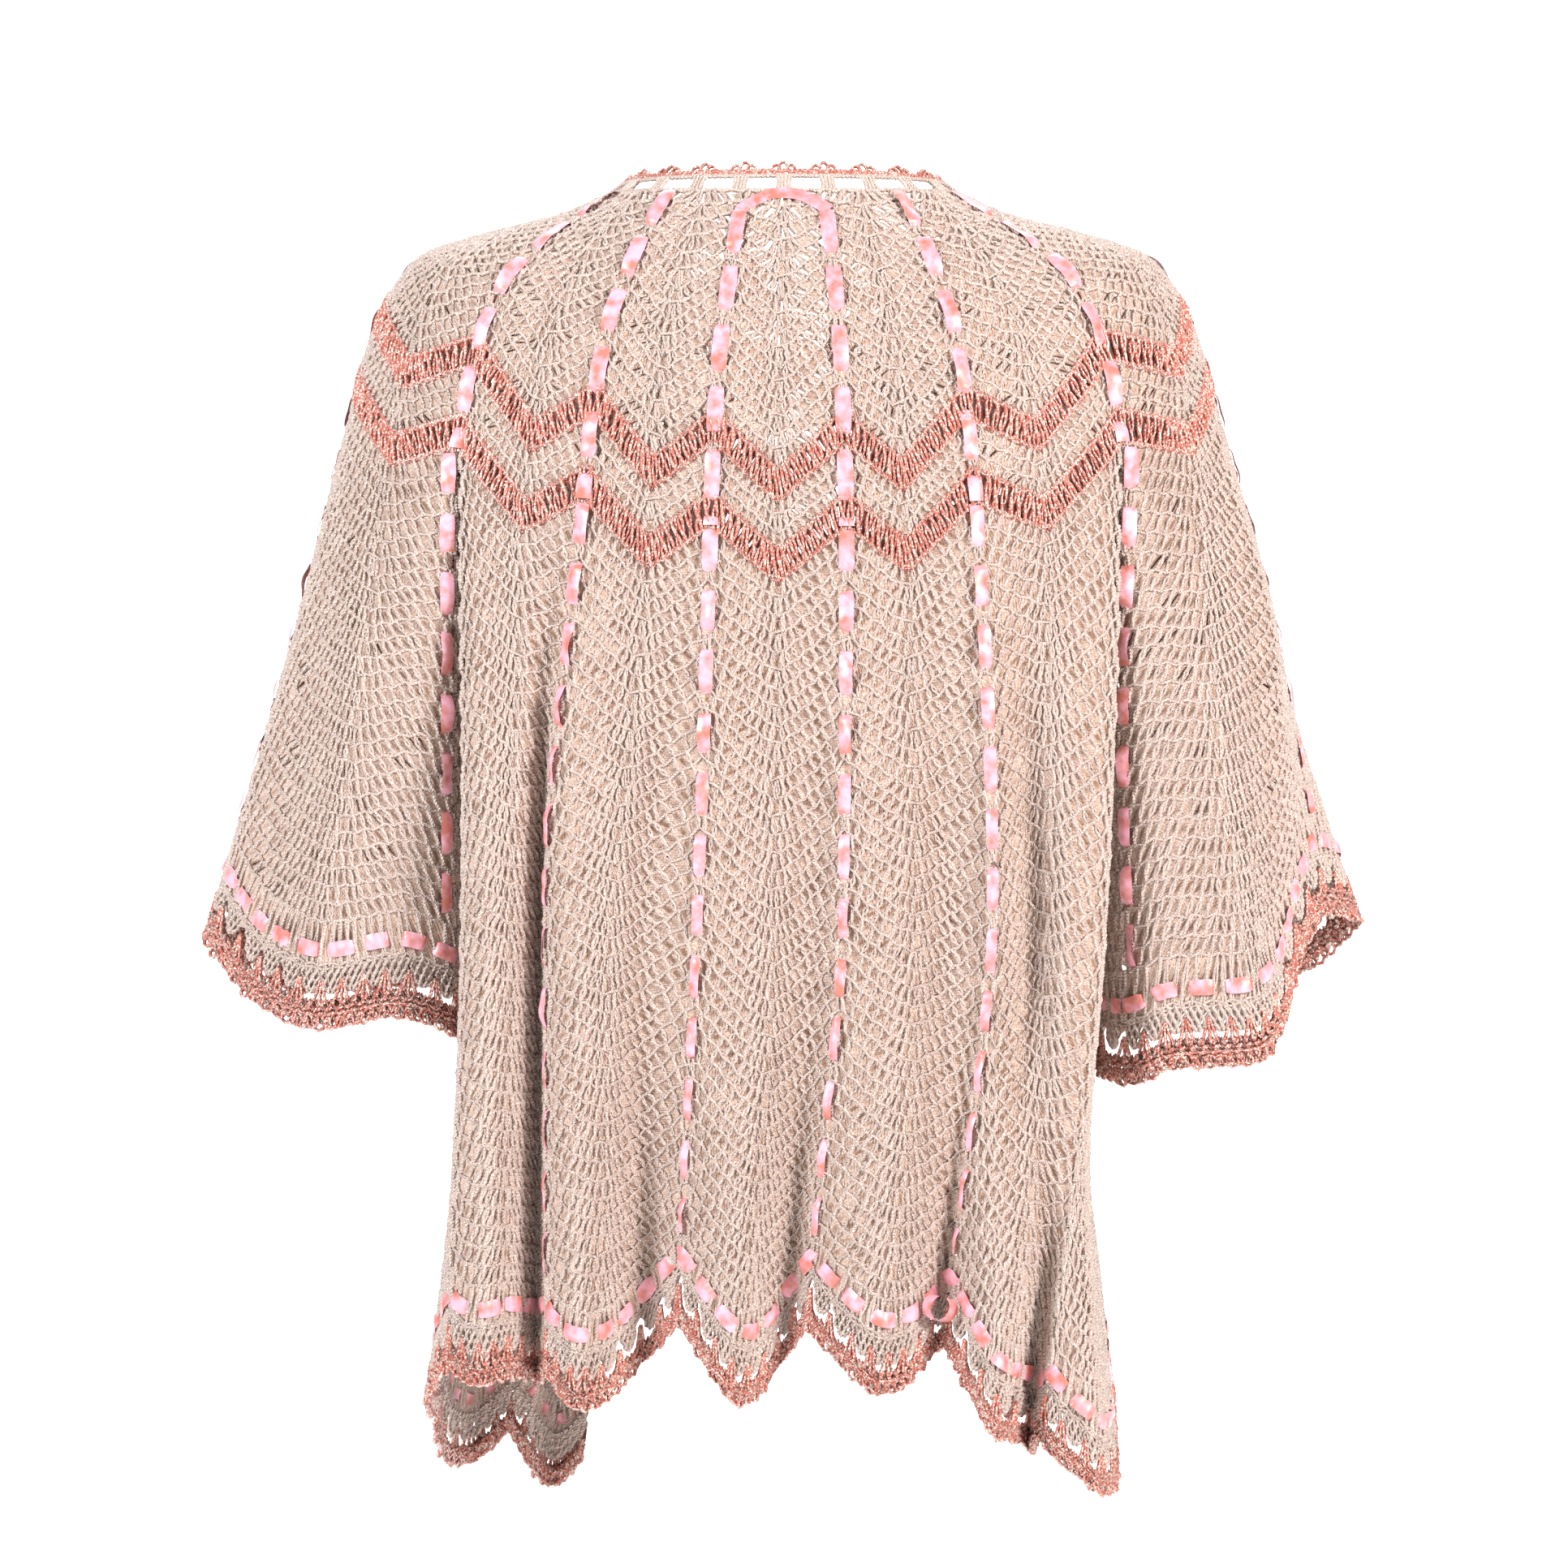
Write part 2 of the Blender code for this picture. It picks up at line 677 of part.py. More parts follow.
class Outline:
    """Gathers the points and faces of a flat pattern laid along an edge."""

    def __init__(self, place):
        self.place = place
        self.index = {}
        self.points = []
        self.outward = []
        self.faces = []

    def face(self, *corners):
        """A face through corners given as (where, distance), turned outward."""
        numbers = []
        for corner in corners:
            key = (round(corner[0], 5), round(corner[1], 6))
            if key not in self.index:
                self.index[key] = len(self.points)
                point, out = self.place(*key)
                self.points.append(point)
                self.outward.append(out)
            numbers.append(self.index[key])
        self.faces.append(numbers)

    def build(self, name, thickness, finish):
        return thick_object(name, self.points, self.outward, self.faces, thickness, finish)


NOTCH = 0.14
SHELL_FOOT = 0.2
LEG_FOOT = 0.3
END_TRIM = 0.01


def shell_row(name, edge, first, last, trim=0.0):
    """Cream shells below an edge, one to a stretch, open between them from a short chain."""
    outline = Outline(edge.at)
    top = SEAM / 2
    for i in range(first, last):
        left = i + trim if i == first else i
        right = i + 1 - trim if i + 1 == last else i + 1
        corners = [(left, top), (right, top)]
        if i + 1 == last:
            corners.append((right, CHAIN_DEPTH))
        corners += [
            (i + 1 - NOTCH, CHAIN_DEPTH),
            (i + 1 - SHELL_FOOT, SHELL_DEPTH),
            (i + SHELL_FOOT, SHELL_DEPTH),
            (i + NOTCH, CHAIN_DEPTH),
        ]
        if i == first:
            corners.append((left, CHAIN_DEPTH))
        outline.face(*corners)
        if i > first:
            outline.face((i, top), (i + NOTCH, CHAIN_DEPTH), (i - NOTCH, CHAIN_DEPTH))
    return outline.build(name, WALL, CREAM_YARN)


def picot_row(name, edge, first, last, depths, trim=0.0):
    """Silk edging: a chain with picots below it, and a leg up into each gap of the shells."""
    outline = Outline(edge.at)
    deep, shallow = depths
    for i in range(first, last):
        left = i + trim if i == first else i
        right = i + 1 - trim if i + 1 == last else i + 1
        outline.face(
            (left, LEG_TOP),
            (i + LEG_FOOT, EDGING_TOP),
            (i + 1 - LEG_FOOT, EDGING_TOP),
            (right, LEG_TOP),
            (right, deep),
            (i + 0.5, shallow),
            (left, deep),
        )
    return outline.build(name, WALL, SILK_YARN)


def hem_edge():
    lines = even_lines(-BODY_EDGE, BODY_EDGE, COLUMNS)
    return Edge(lines, body_point, body_normal, body_levels()[-2])


def cuff_edge(side):
    return Edge(
        sleeve_places(),
        functools.partial(sleeve_point, side),
        functools.partial(sleeve_normal, side),
        sleeve_levels()[-2],
        wrap=True,
    )


def make_edgings():
    hem = hem_edge()
    shell_row("hem_shells", hem, 0, hem.stretches)
    picot_row("hem_picots", hem, 0, hem.stretches, HEM_PICOTS)
    for side, name in ((1, "left"), (-1, "right")):
        cuff = cuff_edge(side)
        middle = cuff.stretches // 2
        halves = (("outer", 0, middle), ("inner", middle, cuff.stretches))
        for half, first, last in halves:
            shell_row(f"cuff_shells_{name}_{half}", cuff, first, last, END_TRIM)
            picot_row(f"cuff_picots_{name}_{half}", cuff, first, last, CUFF_PICOTS, END_TRIM)


EYELETS = 22
EYELET_HALF = 0.36
EYELET_TOP = 0.003
EYELET_FOOT = 0.0095
NECK_PICOT = -0.011
NECK_DIP = -0.0045


def neck_lines():
    """The lines between the eyelets, evenly spread round the neck."""
    lines = np.linspace(-FRONT_LINE, FRONT_LINE, 131)
    points = np.array([on_yoke(line, 0.0) for line in lines])
    length = np.concatenate([[0.0], np.cumsum(np.linalg.norm(np.diff(points, axis=0), axis=1))])
    return np.interp(np.linspace(0, length[-1], EYELETS + 1), length, lines)


def make_neck():
    """The row of eyelets round the neck, and the silk picots that stand on it."""
    lines = neck_lines()

    def place(where, distance):
        line = float(np.interp(where, range(EYELETS + 1), lines))
        return on_yoke(line, distance), yoke_normal(line, distance)

    band = Outline(place)
    foot = EYELET_ROW[1] - SEAM / 2
    for i in range(EYELETS):
        left = i + 0.5 - EYELET_HALF
        right = i + 0.5 + EYELET_HALF
        high = EYELET_TOP
        low = EYELET_FOOT
        band.face((i, 0), (i + 1, 0), (i + 1, high), (right, high), (left, high), (i, high))
        band.face((i, high), (left, high), (left, low), (i, low))
        band.face((right, high), (i + 1, high), (i + 1, low), (right, low))
        band.face((i, low), (left, low), (right, low), (i + 1, low), (i + 1, foot), (i, foot))
    band.build("neck_eyelets", WALL, CREAM_YARN)
    picots = Outline(place)
    for i in range(EYELETS):
        picots.face(
            (i, NECK_PICOT),
            (i + 0.5, NECK_DIP),
            (i + 1, NECK_PICOT),
            (i + 1, -SEAM),
            (i, -SEAM),
        )
    picots.build("neck_picots", WALL, SILK_YARN)


FRONT_TRIM = 0.008
FRONT_DIP = 0.004


def front_stations(side):
    """Points down a front edge at the rows of its panels, and the picots to each stretch."""
    reaches = [0.0] + list(np.linspace(EYELET_ROW[1], UPPER_SILK[0], YOKE_ROWS + 1))
    reaches += [UPPER_SILK[1], LOWER_SILK[0]]
    rows = []
    for reach in reaches:
        edge = yoke_point(side * FRONT_LINE, reach)
        before = yoke_point(side * (FRONT_LINE - 1 / YOKE_COLUMNS), reach)
        rows.append((edge, edge - before, yoke_normal(side * FRONT_LINE, reach)))
    for level in body_levels():
        edge = body_point(side * BODY_EDGE, level)
        before = body_point(side * (BODY_EDGE - 1 / COLUMNS), level)
        rows.append((edge, edge - before, body_normal(side * BODY_EDGE, level)))
    picots = [1] + [2] * YOKE_ROWS + [1, 2, 1] + [3] * BODY_ROWS + [1]
    return rows, np.concatenate([[0], np.cumsum(picots)])


def make_front_edgings():
    for side, name in ((1, "left"), (-1, "right")):
        rows, stations = front_stations(side)

        def place(where, distance, rows=rows, stations=stations):
            i = max(0, min(len(rows) - 2, int(np.searchsorted(stations, where, "right")) - 1))
            share = (where - stations[i]) / (stations[i + 1] - stations[i])
            parts = [rows[i][k] * (1 - share) + rows[i + 1][k] * share for k in range(3)]
            point, out, normal = parts
            out = out - normal * float(np.dot(out, normal)) / float(np.dot(normal, normal))
            out = out / np.linalg.norm(out)
            return point + out * distance, normal / np.linalg.norm(normal)

        outline = Outline(place)
        for i in range(int(stations[-1])):
            outline.face(
                (i, SEAM),
                (i, FRONT_TRIM),
                (i + 0.5, FRONT_DIP),
                (i + 1, FRONT_TRIM),
                (i + 1, SEAM),
            )
        outline.build(f"front_picots_{name}", WALL, SILK_YARN)


def strip(name, rows, thickness, finish, lift=RIBBON_LIFT, closed=False):
    """A ribbon through rows of (left, right, outward), lying on their outer side."""
    points = []
    outward = []
    for left, right, out in rows:
        points += [left + out * (lift + thickness), right + out * (lift + thickness)]
        outward += [out, out]
    faces = [[2 * i, 2 * i + 1, 2 * i + 3, 2 * i + 2] for i in range(len(rows) - 1)]
    if closed:
        faces.append([2 * len(rows) - 2, 2 * len(rows) - 1, 1, 0])
    return thick_object(name, points, outward, faces, thickness, finish, raised=True)


def ribbon_row(middle, before, after, out):
    """The two edges of a ribbon on a panel's column, from the columns beside it."""
    left = middle + (before - middle) * (RIBBON_WIDTH / 2 / np.linalg.norm(before - middle))
    right = middle + (after - middle) * (RIBBON_WIDTH / 2 / np.linalg.norm(after - middle))
    ridge = max(0.0, float(np.dot(middle - (left + right) / 2, out)))
    return left + out * ridge, right + out * ridge, out


def yoke_ribbon_rows(line, first):
    """Ribbon rows on the yoke, at the rings of its walls."""
    levels = list(np.linspace(EYELET_ROW[1], UPPER_SILK[0], YOKE_ROWS + 1))
    levels = [first] + [level for level in levels if level > first + 0.004]
    levels += [UPPER_SILK[1], LOWER_SILK[0]]
    step = 1 / YOKE_COLUMNS
    rows = []
    for reach in levels:
        rows.append(
            ribbon_row(
                yoke_point(line, reach),
                yoke_point(line - step, reach),
                yoke_point(line + step, reach),
                yoke_normal(line, reach),
            )
        )
    return rows


RIBBON_START = 0.0135
ARCH_START = 0.032
BEAD_TOP = BEAD_DROP + RIBBON_WIDTH / 2 + 0.0045


def length_down(point, place):
    return np.linalg.norm(point(place, 1.0) - point(place, 0.9)) / 0.1


def hanging_rows(point, outward, place, levels, step):
    """Ribbon rows down a line of the body or of a sleeve, to the ribbon of its edge."""
    stop = 1 - BEAD_TOP / length_down(point, place)
    rows = []
    for level in [level for level in levels if level < stop - 0.01] + [stop]:
        rows.append(
            ribbon_row(
                point(place, level),
                point(place - step, level),
                point(place + step, level),
                outward(place, level),
            )
        )
    return rows


def make_line_ribbons():
    """The ribbons down the valley lines, to the hem or to the cuffs."""
    sleeve_step = 1 / SLEEVE_COLUMNS
    for number in range(6):
        for side, name in ((1, "left"), (-1, "right")):
            line = side * (number + 0.5)
            rows = yoke_ribbon_rows(line, ARCH_START if number == 0 else RIBBON_START)
            if BACK_LINE <= abs(line) <= SLEEVE_LINE:
                place = min(2 - sleeve_step, max(sleeve_step, abs(line) - BACK_LINE))
                point = functools.partial(sleeve_point, side)
                outward = functools.partial(sleeve_normal, side)
                rows += hanging_rows(point, outward, place, sleeve_levels(), side * sleeve_step)
            else:
                past = FRONT_LINE - BODY_EDGE if abs(line) > BACK_LINE else 0.0
                place = line - side * past
                rows += hanging_rows(body_point, body_normal, place, body_levels(), 1 / COLUMNS)
            strip(f"ribbon_line_{number + 1}_{name}", rows, RIBBON_THICK, SATIN_RIBBON)


def bead_rows(edge, count):
    """Rows of the ribbon woven through the row above an edge."""
    rows = []
    for i in range(count):
        low, out = edge.at(i, -(BEAD_DROP - RIBBON_WIDTH / 2))
        high, _ = edge.at(i, -(BEAD_DROP + RIBBON_WIDTH / 2))
        rows.append((low, high, out))
    return rows


def make_bead_ribbons():
    hem = hem_edge()
    rows = bead_rows(hem, hem.stretches + 1)
    strip("ribbon_hem", rows, RIBBON_THICK, SATIN_RIBBON)
    for side, name in ((1, "left"), (-1, "right")):
        cuff = cuff_edge(side)
        rows = bead_rows(cuff, cuff.stretches)
        strip(f"ribbon_cuff_{name}", rows, RIBBON_THICK, SATIN_RIBBON, closed=True)


ARCH_PATH = (
    (0.52, 0.0255),
    (0.42, 0.0205),
    (0.22, 0.0170),
    (0.0, 0.0160),
    (-0.22, 0.0170),
    (-0.42, 0.0205),
    (-0.52, 0.0255),
)


def make_arch():
    """The ribbon that passes over the centre back from one valley line to the other."""
    middle = [on_yoke(line, reach) for line, reach in ARCH_PATH]
    rows = []
    for i, (line, reach) in enumerate(ARCH_PATH):
        out = yoke_normal(line, reach)
        along = middle[min(i + 1, len(middle) - 1)] - middle[max(i - 1, 0)]
        across = np.cross(out, along)
        across = across / np.linalg.norm(across) * (RIBBON_WIDTH / 2)
        rows.append((middle[i] - across, middle[i] + across, out))
    strip("ribbon_arch", rows, RIBBON_THICK, SATIN_RIBBON)


LOOP_CENTRE = (-0.0895, 0.1108, -0.640)
LOOP_RADIUS = 0.0075
LOOP_TURN = (math.radians(-40), math.radians(250))
LOOP_STEPS = 12


def make_loose_loop():
    """A slack loop of the hem ribbon where it stands away from the cloth."""
    out = np.array([0.0, 1.0, 0.0])
    rows = []
    for turn in np.linspace(*LOOP_TURN, LOOP_STEPS + 1):
        ray = np.array([-math.cos(turn), 0.0, -math.sin(turn)])
        edge = np.array(LOOP_CENTRE) + ray * LOOP_RADIUS
        rows.append((edge, edge + out * RIBBON_WIDTH * 0.8, ray))
    strip("ribbon_loop", rows, RIBBON_THICK, SATIN_RIBBON, lift=0.0)


for old in list(bpy.data.objects):
    bpy.data.objects.remove(old)
JACKET = bpy.data.collections.new("crochet_bed_jacket")
bpy.context.scene.collection.children.link(JACKET)
CREAM_YARN = material("cream_wool", CREAM, 0.85, 0.3)
SILK_YARN = material("pink_silk", SILK, 0.45, 0.2)
SATIN_RIBBON = material("satin_ribbon", SATIN, 0.3, 0.1)

make_neck()
make_yoke()
make_body()
make_sleeves()
make_edgings()
make_front_edgings()
make_line_ribbons()
make_bead_ribbons()
make_arch()
make_loose_loop()
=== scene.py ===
"""Crochet bed jacket in its worn form, stitch by stitch, over the walls of its frame.

Metres, +Z up. The jacket's front faces -Y and its left side, as worn, is +X. Lines and gores
are counted from the centre back: gore 0 is the centre back, and line 0.5 is the first valley
of the zigzag to the left.
"""

import functools
import math

import bpy
import numpy as np
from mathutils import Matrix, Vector


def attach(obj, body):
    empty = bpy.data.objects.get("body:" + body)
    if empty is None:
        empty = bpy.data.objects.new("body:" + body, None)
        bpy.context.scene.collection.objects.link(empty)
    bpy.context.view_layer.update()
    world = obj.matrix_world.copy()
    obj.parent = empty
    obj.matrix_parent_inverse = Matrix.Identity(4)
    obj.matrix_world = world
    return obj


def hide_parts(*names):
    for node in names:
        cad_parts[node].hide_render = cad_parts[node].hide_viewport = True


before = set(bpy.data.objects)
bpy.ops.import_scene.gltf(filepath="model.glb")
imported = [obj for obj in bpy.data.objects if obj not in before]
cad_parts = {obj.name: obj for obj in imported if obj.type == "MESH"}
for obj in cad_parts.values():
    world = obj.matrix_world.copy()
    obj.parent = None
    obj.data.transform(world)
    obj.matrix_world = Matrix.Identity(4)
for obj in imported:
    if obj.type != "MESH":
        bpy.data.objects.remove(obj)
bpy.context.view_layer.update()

bl_info = {
    "name": "Crochet Bed Jacket",
    "version": (1, 0, 0),
    "blender": (4, 5, 0),
    "location": "View3D > Sidebar > Bed Jacket",
    "description": "Builds a crochet bed jacket with woven ribbons and a picot edging",
    "category": "Object",
}

# Crochet rows, measured from the neck edge along the cloth
EYELET_DEPTH = 0.0125
UPPER_SILK = (0.165, 0.183)
LOWER_SILK = (0.2105, 0.229)
SPLIT = LOWER_SILK[1]

# The edging, measured down from the cloth's lower edge, and the ribbon row above that edge
BEAD_DROP = 0.0085
SHELL_DEPTH = 0.0155
LEG_TOP = 0.0095
EDGING_TOP = 0.0225
HEM_EDGING = 0.032
CUFF_EDGING = 0.036

# Gores: back from line -2.5 to 2.5, sleeves out to 4.5, fronts out to 6.5
BACK_LINE = 2.5
SLEEVE_LINE = 4.5
FRONT_LINE = 6.5
GORE_SHARES = (1.25, 1.25, 1.0, 1.0)
BODY_SIDE = 3.5
BODY_EDGE = 5.5

# Repeats of the edging to a gore: of the body, of a sleeve and of its underarm part
COLUMNS = 8
SLEEVE_COLUMNS = 12
UNDERARM_COLUMNS = 8

# Depth of the zigzag, half of it, by distance from the neck edge
ZIGZAG = ((EYELET_DEPTH, 0.0), (0.045, 0.008), (0.08, 0.0145), (0.16, 0.016), (0.24, 0.0145))
HEM_ZIGZAG = 0.018

# Rings of the yoke by distance from the neck edge, and the width of a gore on each
YOKE_NAMES = (
    "reach",
    "half_width",
    "back_y",
    "front_y",
    "back_z",
    "side_z",
    "front_z",
    "front_x",
    "gore",
)
YOKE_RINGS = (
    (-0.015, 0.088, 0.062, -0.074, 0.012, 0.012, -0.068, 0.028, 0.037),
    (0.000, 0.096, 0.070, -0.082, 0.000, 0.003, -0.084, 0.030, 0.041),
    (0.035, 0.127, 0.088, -0.100, -0.030, -0.014, -0.125, 0.036, 0.051),
    (0.080, 0.170, 0.103, -0.112, -0.0725, -0.025, -0.172, 0.044, 0.062),
    (0.125, 0.212, 0.112, -0.120, -0.1165, -0.039, -0.218, 0.052, 0.071),
    (0.170, 0.237, 0.117, -0.126, -0.161, -0.075, -0.262, 0.059, 0.076),
    (0.220, 0.251, 0.119, -0.131, -0.211, -0.122, -0.309, 0.065, 0.079),
    (0.260, 0.257, 0.120, -0.134, -0.251, -0.160, -0.347, 0.069, 0.081),
)

# How far each line lies off an even spread of the gores, towards the jacket's left
DRIFT_NAMES = ("line", "aside")
DRIFT = (
    (-6.5, 0.0045),
    (-3.5, 0.0045),
    (-3.0, -0.0060),
    (-2.5, -0.0095),
    (-2.0, 0.0055),
    (-1.5, 0.0085),
    (-1.0, 0.0105),
    (-0.5, 0.0045),
    (0.0, 0.0035),
    (0.5, 0.0015),
    (1.0, -0.0030),
    (1.5, -0.0035),
    (2.0, -0.0070),
    (2.5, 0.0005),
    (3.0, -0.0080),
    (3.5, 0.0045),
    (6.5, 0.0045),
)

# Crests and valleys of the body's folds, in plan, halfway down and at the hem
BODY_NAMES = ("line", "half_x", "half_y", "hem_x", "hem_y")
BODY_FOLDS = (
    (-5.50, -0.095, -0.128, -0.112, -0.118),
    (-5.00, -0.118, -0.134, -0.136, -0.127),
    (-4.60, -0.138, -0.121, -0.154, -0.098),
    (-4.20, -0.159, -0.116, -0.179, -0.103),
    (-3.80, -0.171, -0.080, -0.194, -0.060),
    (-3.50, -0.168, -0.045, -0.190, -0.015),
    (-3.10, -0.166, 0.020, -0.187, 0.060),
    (-2.80, -0.172, 0.072, -0.172, 0.112),
    (-2.50, -0.181, 0.100, -0.147, 0.106),
    (-2.15, -0.157, 0.113, -0.140, 0.084),
    (-1.85, -0.138, 0.101, -0.117, 0.131),
    (-1.50, -0.116, 0.124, -0.0935, 0.102),
    (-1.42, -0.110, 0.120, -0.0875, 0.093),
    (-1.19, -0.0905, 0.114, -0.072, 0.117),
    (-0.85, -0.062, 0.130, -0.047, 0.133),
    (-0.50, -0.0333, 0.126, -0.0155, 0.112),
    (-0.30, -0.0165, 0.119, -0.001, 0.096),
    (0.15, 0.018, 0.130, 0.030, 0.132),
    (0.50, 0.0473, 0.127, 0.058, 0.112),
    (0.75, 0.077, 0.118, 0.0805, 0.090),
    (0.95, 0.093, 0.126, 0.098, 0.116),
    (1.20, 0.110, 0.130, 0.115, 0.131),
    (1.50, 0.1325, 0.114, 0.1325, 0.112),
    (1.72, 0.1365, 0.091, 0.1395, 0.089),
    (1.95, 0.149, 0.116, 0.151, 0.116),
    (2.20, 0.164, 0.122, 0.166, 0.131),
    (2.50, 0.181, 0.098, 0.186, 0.116),
    (2.80, 0.169, 0.058, 0.198, 0.082),
    (3.10, 0.166, 0.010, 0.197, 0.036),
    (3.50, 0.168, -0.045, 0.201, -0.018),
    (3.80, 0.171, -0.080, 0.203, -0.060),
    (4.20, 0.159, -0.116, 0.186, -0.108),
    (4.60, 0.138, -0.121, 0.158, -0.098),
    (5.00, 0.118, -0.134, 0.142, -0.127),
    (5.50, 0.095, -0.128, 0.120, -0.118),
)
# Height of the middle of the hem's ribbon row, without the zigzag
HEM_NAMES = ("line", "height")
HEM_HEIGHTS = (
    (-5.5, -0.676),
    (-4.0, -0.681),
    (-3.0, -0.688),
    (-2.5, -0.690),
    (-2.0, -0.657),
    (-1.5, -0.640),
    (-1.0, -0.626),
    (-0.5, -0.628),
    (0.0, -0.633),
    (0.5, -0.626),
    (1.0, -0.633),
    (1.5, -0.652),
    (2.0, -0.618),
    (2.5, -0.647),
    (3.0, -0.650),
    (3.5, -0.680),
    (4.0, -0.702),
    (4.5, -0.718),
    (5.0, -0.720),
    (5.5, -0.738),
)

# Sleeves: 0 is the back line, 1 the outer line, 2 the front line, and 3 the back line again
# after the underarm part. cuff_z is the height of the cuff's ribbon row.
SLEEVE_NAMES = ("place", "half_x", "half_y", "cuff_x", "cuff_y", "cuff_z")
SLEEVE_LEFT = (
    (0.00, 0.187, 0.074, 0.186, 0.070, -0.4457),
    (0.20, 0.209, 0.085, 0.217, 0.082, -0.4340),
    (0.50, 0.243, 0.079, 0.261, 0.076, -0.4410),
    (0.75, 0.268, 0.052, 0.298, 0.050, -0.4280),
    (1.00, 0.2860, 0.006, 0.328, 0.005, -0.3930),
    (1.25, 0.2790, -0.038, 0.317, -0.042, -0.4060),
    (1.50, 0.264, -0.066, 0.285, -0.071, -0.4280),
    (1.75, 0.233, -0.078, 0.247, -0.083, -0.4260),
    (2.00, 0.205, -0.072, 0.211, -0.076, -0.4240),
    (2.33, 0.183, -0.042, 0.185, -0.043, -0.4420),
    (2.67, 0.177, 0.006, 0.178, 0.008, -0.4520),
    (2.88, 0.179, 0.048, 0.179, 0.045, -0.4500),
)
SLEEVE_RIGHT = (
    (0.00, 0.188, 0.074, 0.193, 0.070, -0.4733),
    (0.20, 0.210, 0.086, 0.219, 0.084, -0.4630),
    (0.50, 0.245, 0.082, 0.262, 0.085, -0.4600),
    (0.70, 0.269, 0.063, 0.281, 0.066, -0.4450),
    (0.85, 0.285, 0.036, 0.295, 0.036, -0.4050),
    (1.00, 0.2860, 0.006, 0.3107, 0.006, -0.3790),
    (1.20, 0.2860, -0.030, 0.330, -0.030, -0.3860),
    (1.50, 0.266, -0.065, 0.299, -0.068, -0.4180),
    (1.75, 0.234, -0.078, 0.254, -0.084, -0.4260),
    (2.00, 0.206, -0.072, 0.214, -0.077, -0.4300),
    (2.33, 0.184, -0.042, 0.187, -0.043, -0.4500),
    (2.67, 0.178, 0.006, 0.180, 0.008, -0.4650),
    (2.88, 0.180, 0.048, 0.183, 0.045, -0.4720),
)

# The underarm curve: how far in and down it bows, and the gap between body and sleeve
ARMPIT_IN = 0.020
ARMPIT_DROP = 0.040
ARMPIT_GAP = 0.0012
CORNER_IN = 0.012
CORNER_DROP = 0.0012

# How far above their upper edge body and sleeves begin, and the levels of the points in a line
ABOVE = 0.03
LEVELS = np.array([-0.07, 0.0, 0.5, 1.0])


def column(table, names, name):
    """The values of one column of a table."""
    return np.array([row[names.index(name)] for row in table])


def slopes(knots, values):
    """Slopes of a smooth curve that never swings past the values it goes through."""
    step = np.diff(knots)
    rise = np.diff(values) / step
    result = np.empty_like(values)
    result[0] = rise[0]
    result[-1] = rise[-1]
    before = 2 * step[1:] + step[:-1]
    after = step[1:] + 2 * step[:-1]
    same = rise[:-1] * rise[1:] > 0
    safe_left = np.where(same, rise[:-1], 1.0)
    safe_right = np.where(same, rise[1:], 1.0)
    mean = (before + after) / (before / safe_left + after / safe_right)
    result[1:-1] = np.where(same, mean, 0.0)
    return result


def through(knots, values, at, slope=None):
    """The smooth curve through the values, straight on past both ends."""
    knots = np.asarray(knots, float)
    values = np.asarray(values, float)
    slope = slopes(knots, values) if slope is None else slope
    if at <= knots[0]:
        return values[0] + slope[0] * (at - knots[0])
    if at >= knots[-1]:
        return values[-1] + slope[-1] * (at - knots[-1])
    i = int(np.searchsorted(knots, at, side="right")) - 1
    step = knots[i + 1] - knots[i]
    f = (at - knots[i]) / step
    ease = f * f * (3 - 2 * f)
    out = f * (1 - f) * (1 - f) * step * slope[i]
    into = f * f * (1 - f) * step * slope[i + 1]
    return values[i] * (1 - ease) + values[i + 1] * ease + out - into


class Table:
    """Smooth curves through the columns of a short table, by its first column."""

    def __init__(self, names, rows):
        self.knots = column(rows, names, names[0])
        self.columns = {name: column(rows, names, name) for name in names[1:]}
        self.slopes = {name: slopes(self.knots, v) for name, v in self.columns.items()}

    def at(self, name, where):
        """The value of a column there."""
        return through(self.knots, self.columns[name], where, self.slopes[name])


def ring_table(names, rows):
    """A table of places round a closed ring: its first row comes again at 3."""
    period = 3.0
    before = (rows[-1][0] - period,) + rows[-1][1:]
    again = (rows[0][0] + period,) + rows[0][1:]
    after = (rows[1][0] + period,) + rows[1][1:]
    return Table(names, (before,) + tuple(rows) + (again, after))


YOKE = Table(YOKE_NAMES, YOKE_RINGS)
BODY = Table(BODY_NAMES, BODY_FOLDS)
HEM = Table(HEM_NAMES, HEM_HEIGHTS)
LINE_DRIFT = Table(DRIFT_NAMES, DRIFT)
SLEEVES = {1: ring_table(SLEEVE_NAMES, SLEEVE_LEFT), -1: ring_table(SLEEVE_NAMES, SLEEVE_RIGHT)}
ZIGZAG_TABLE = Table(("reach", "half"), ZIGZAG)


def tooth(line):
    """The zigzag: 1 at the middle of a gore, its lowest point, and -1 at a valley line."""
    return 1 - 4 * abs(line - round(line))


def zigzag(line, reach):
    """How much further down a row lies on a line, by its distance from the neck edge."""
    if reach <= EYELET_DEPTH:
        return 0.0
    return ZIGZAG_TABLE.at("half", min(reach, ZIGZAG[-1][0])) * tooth(line)


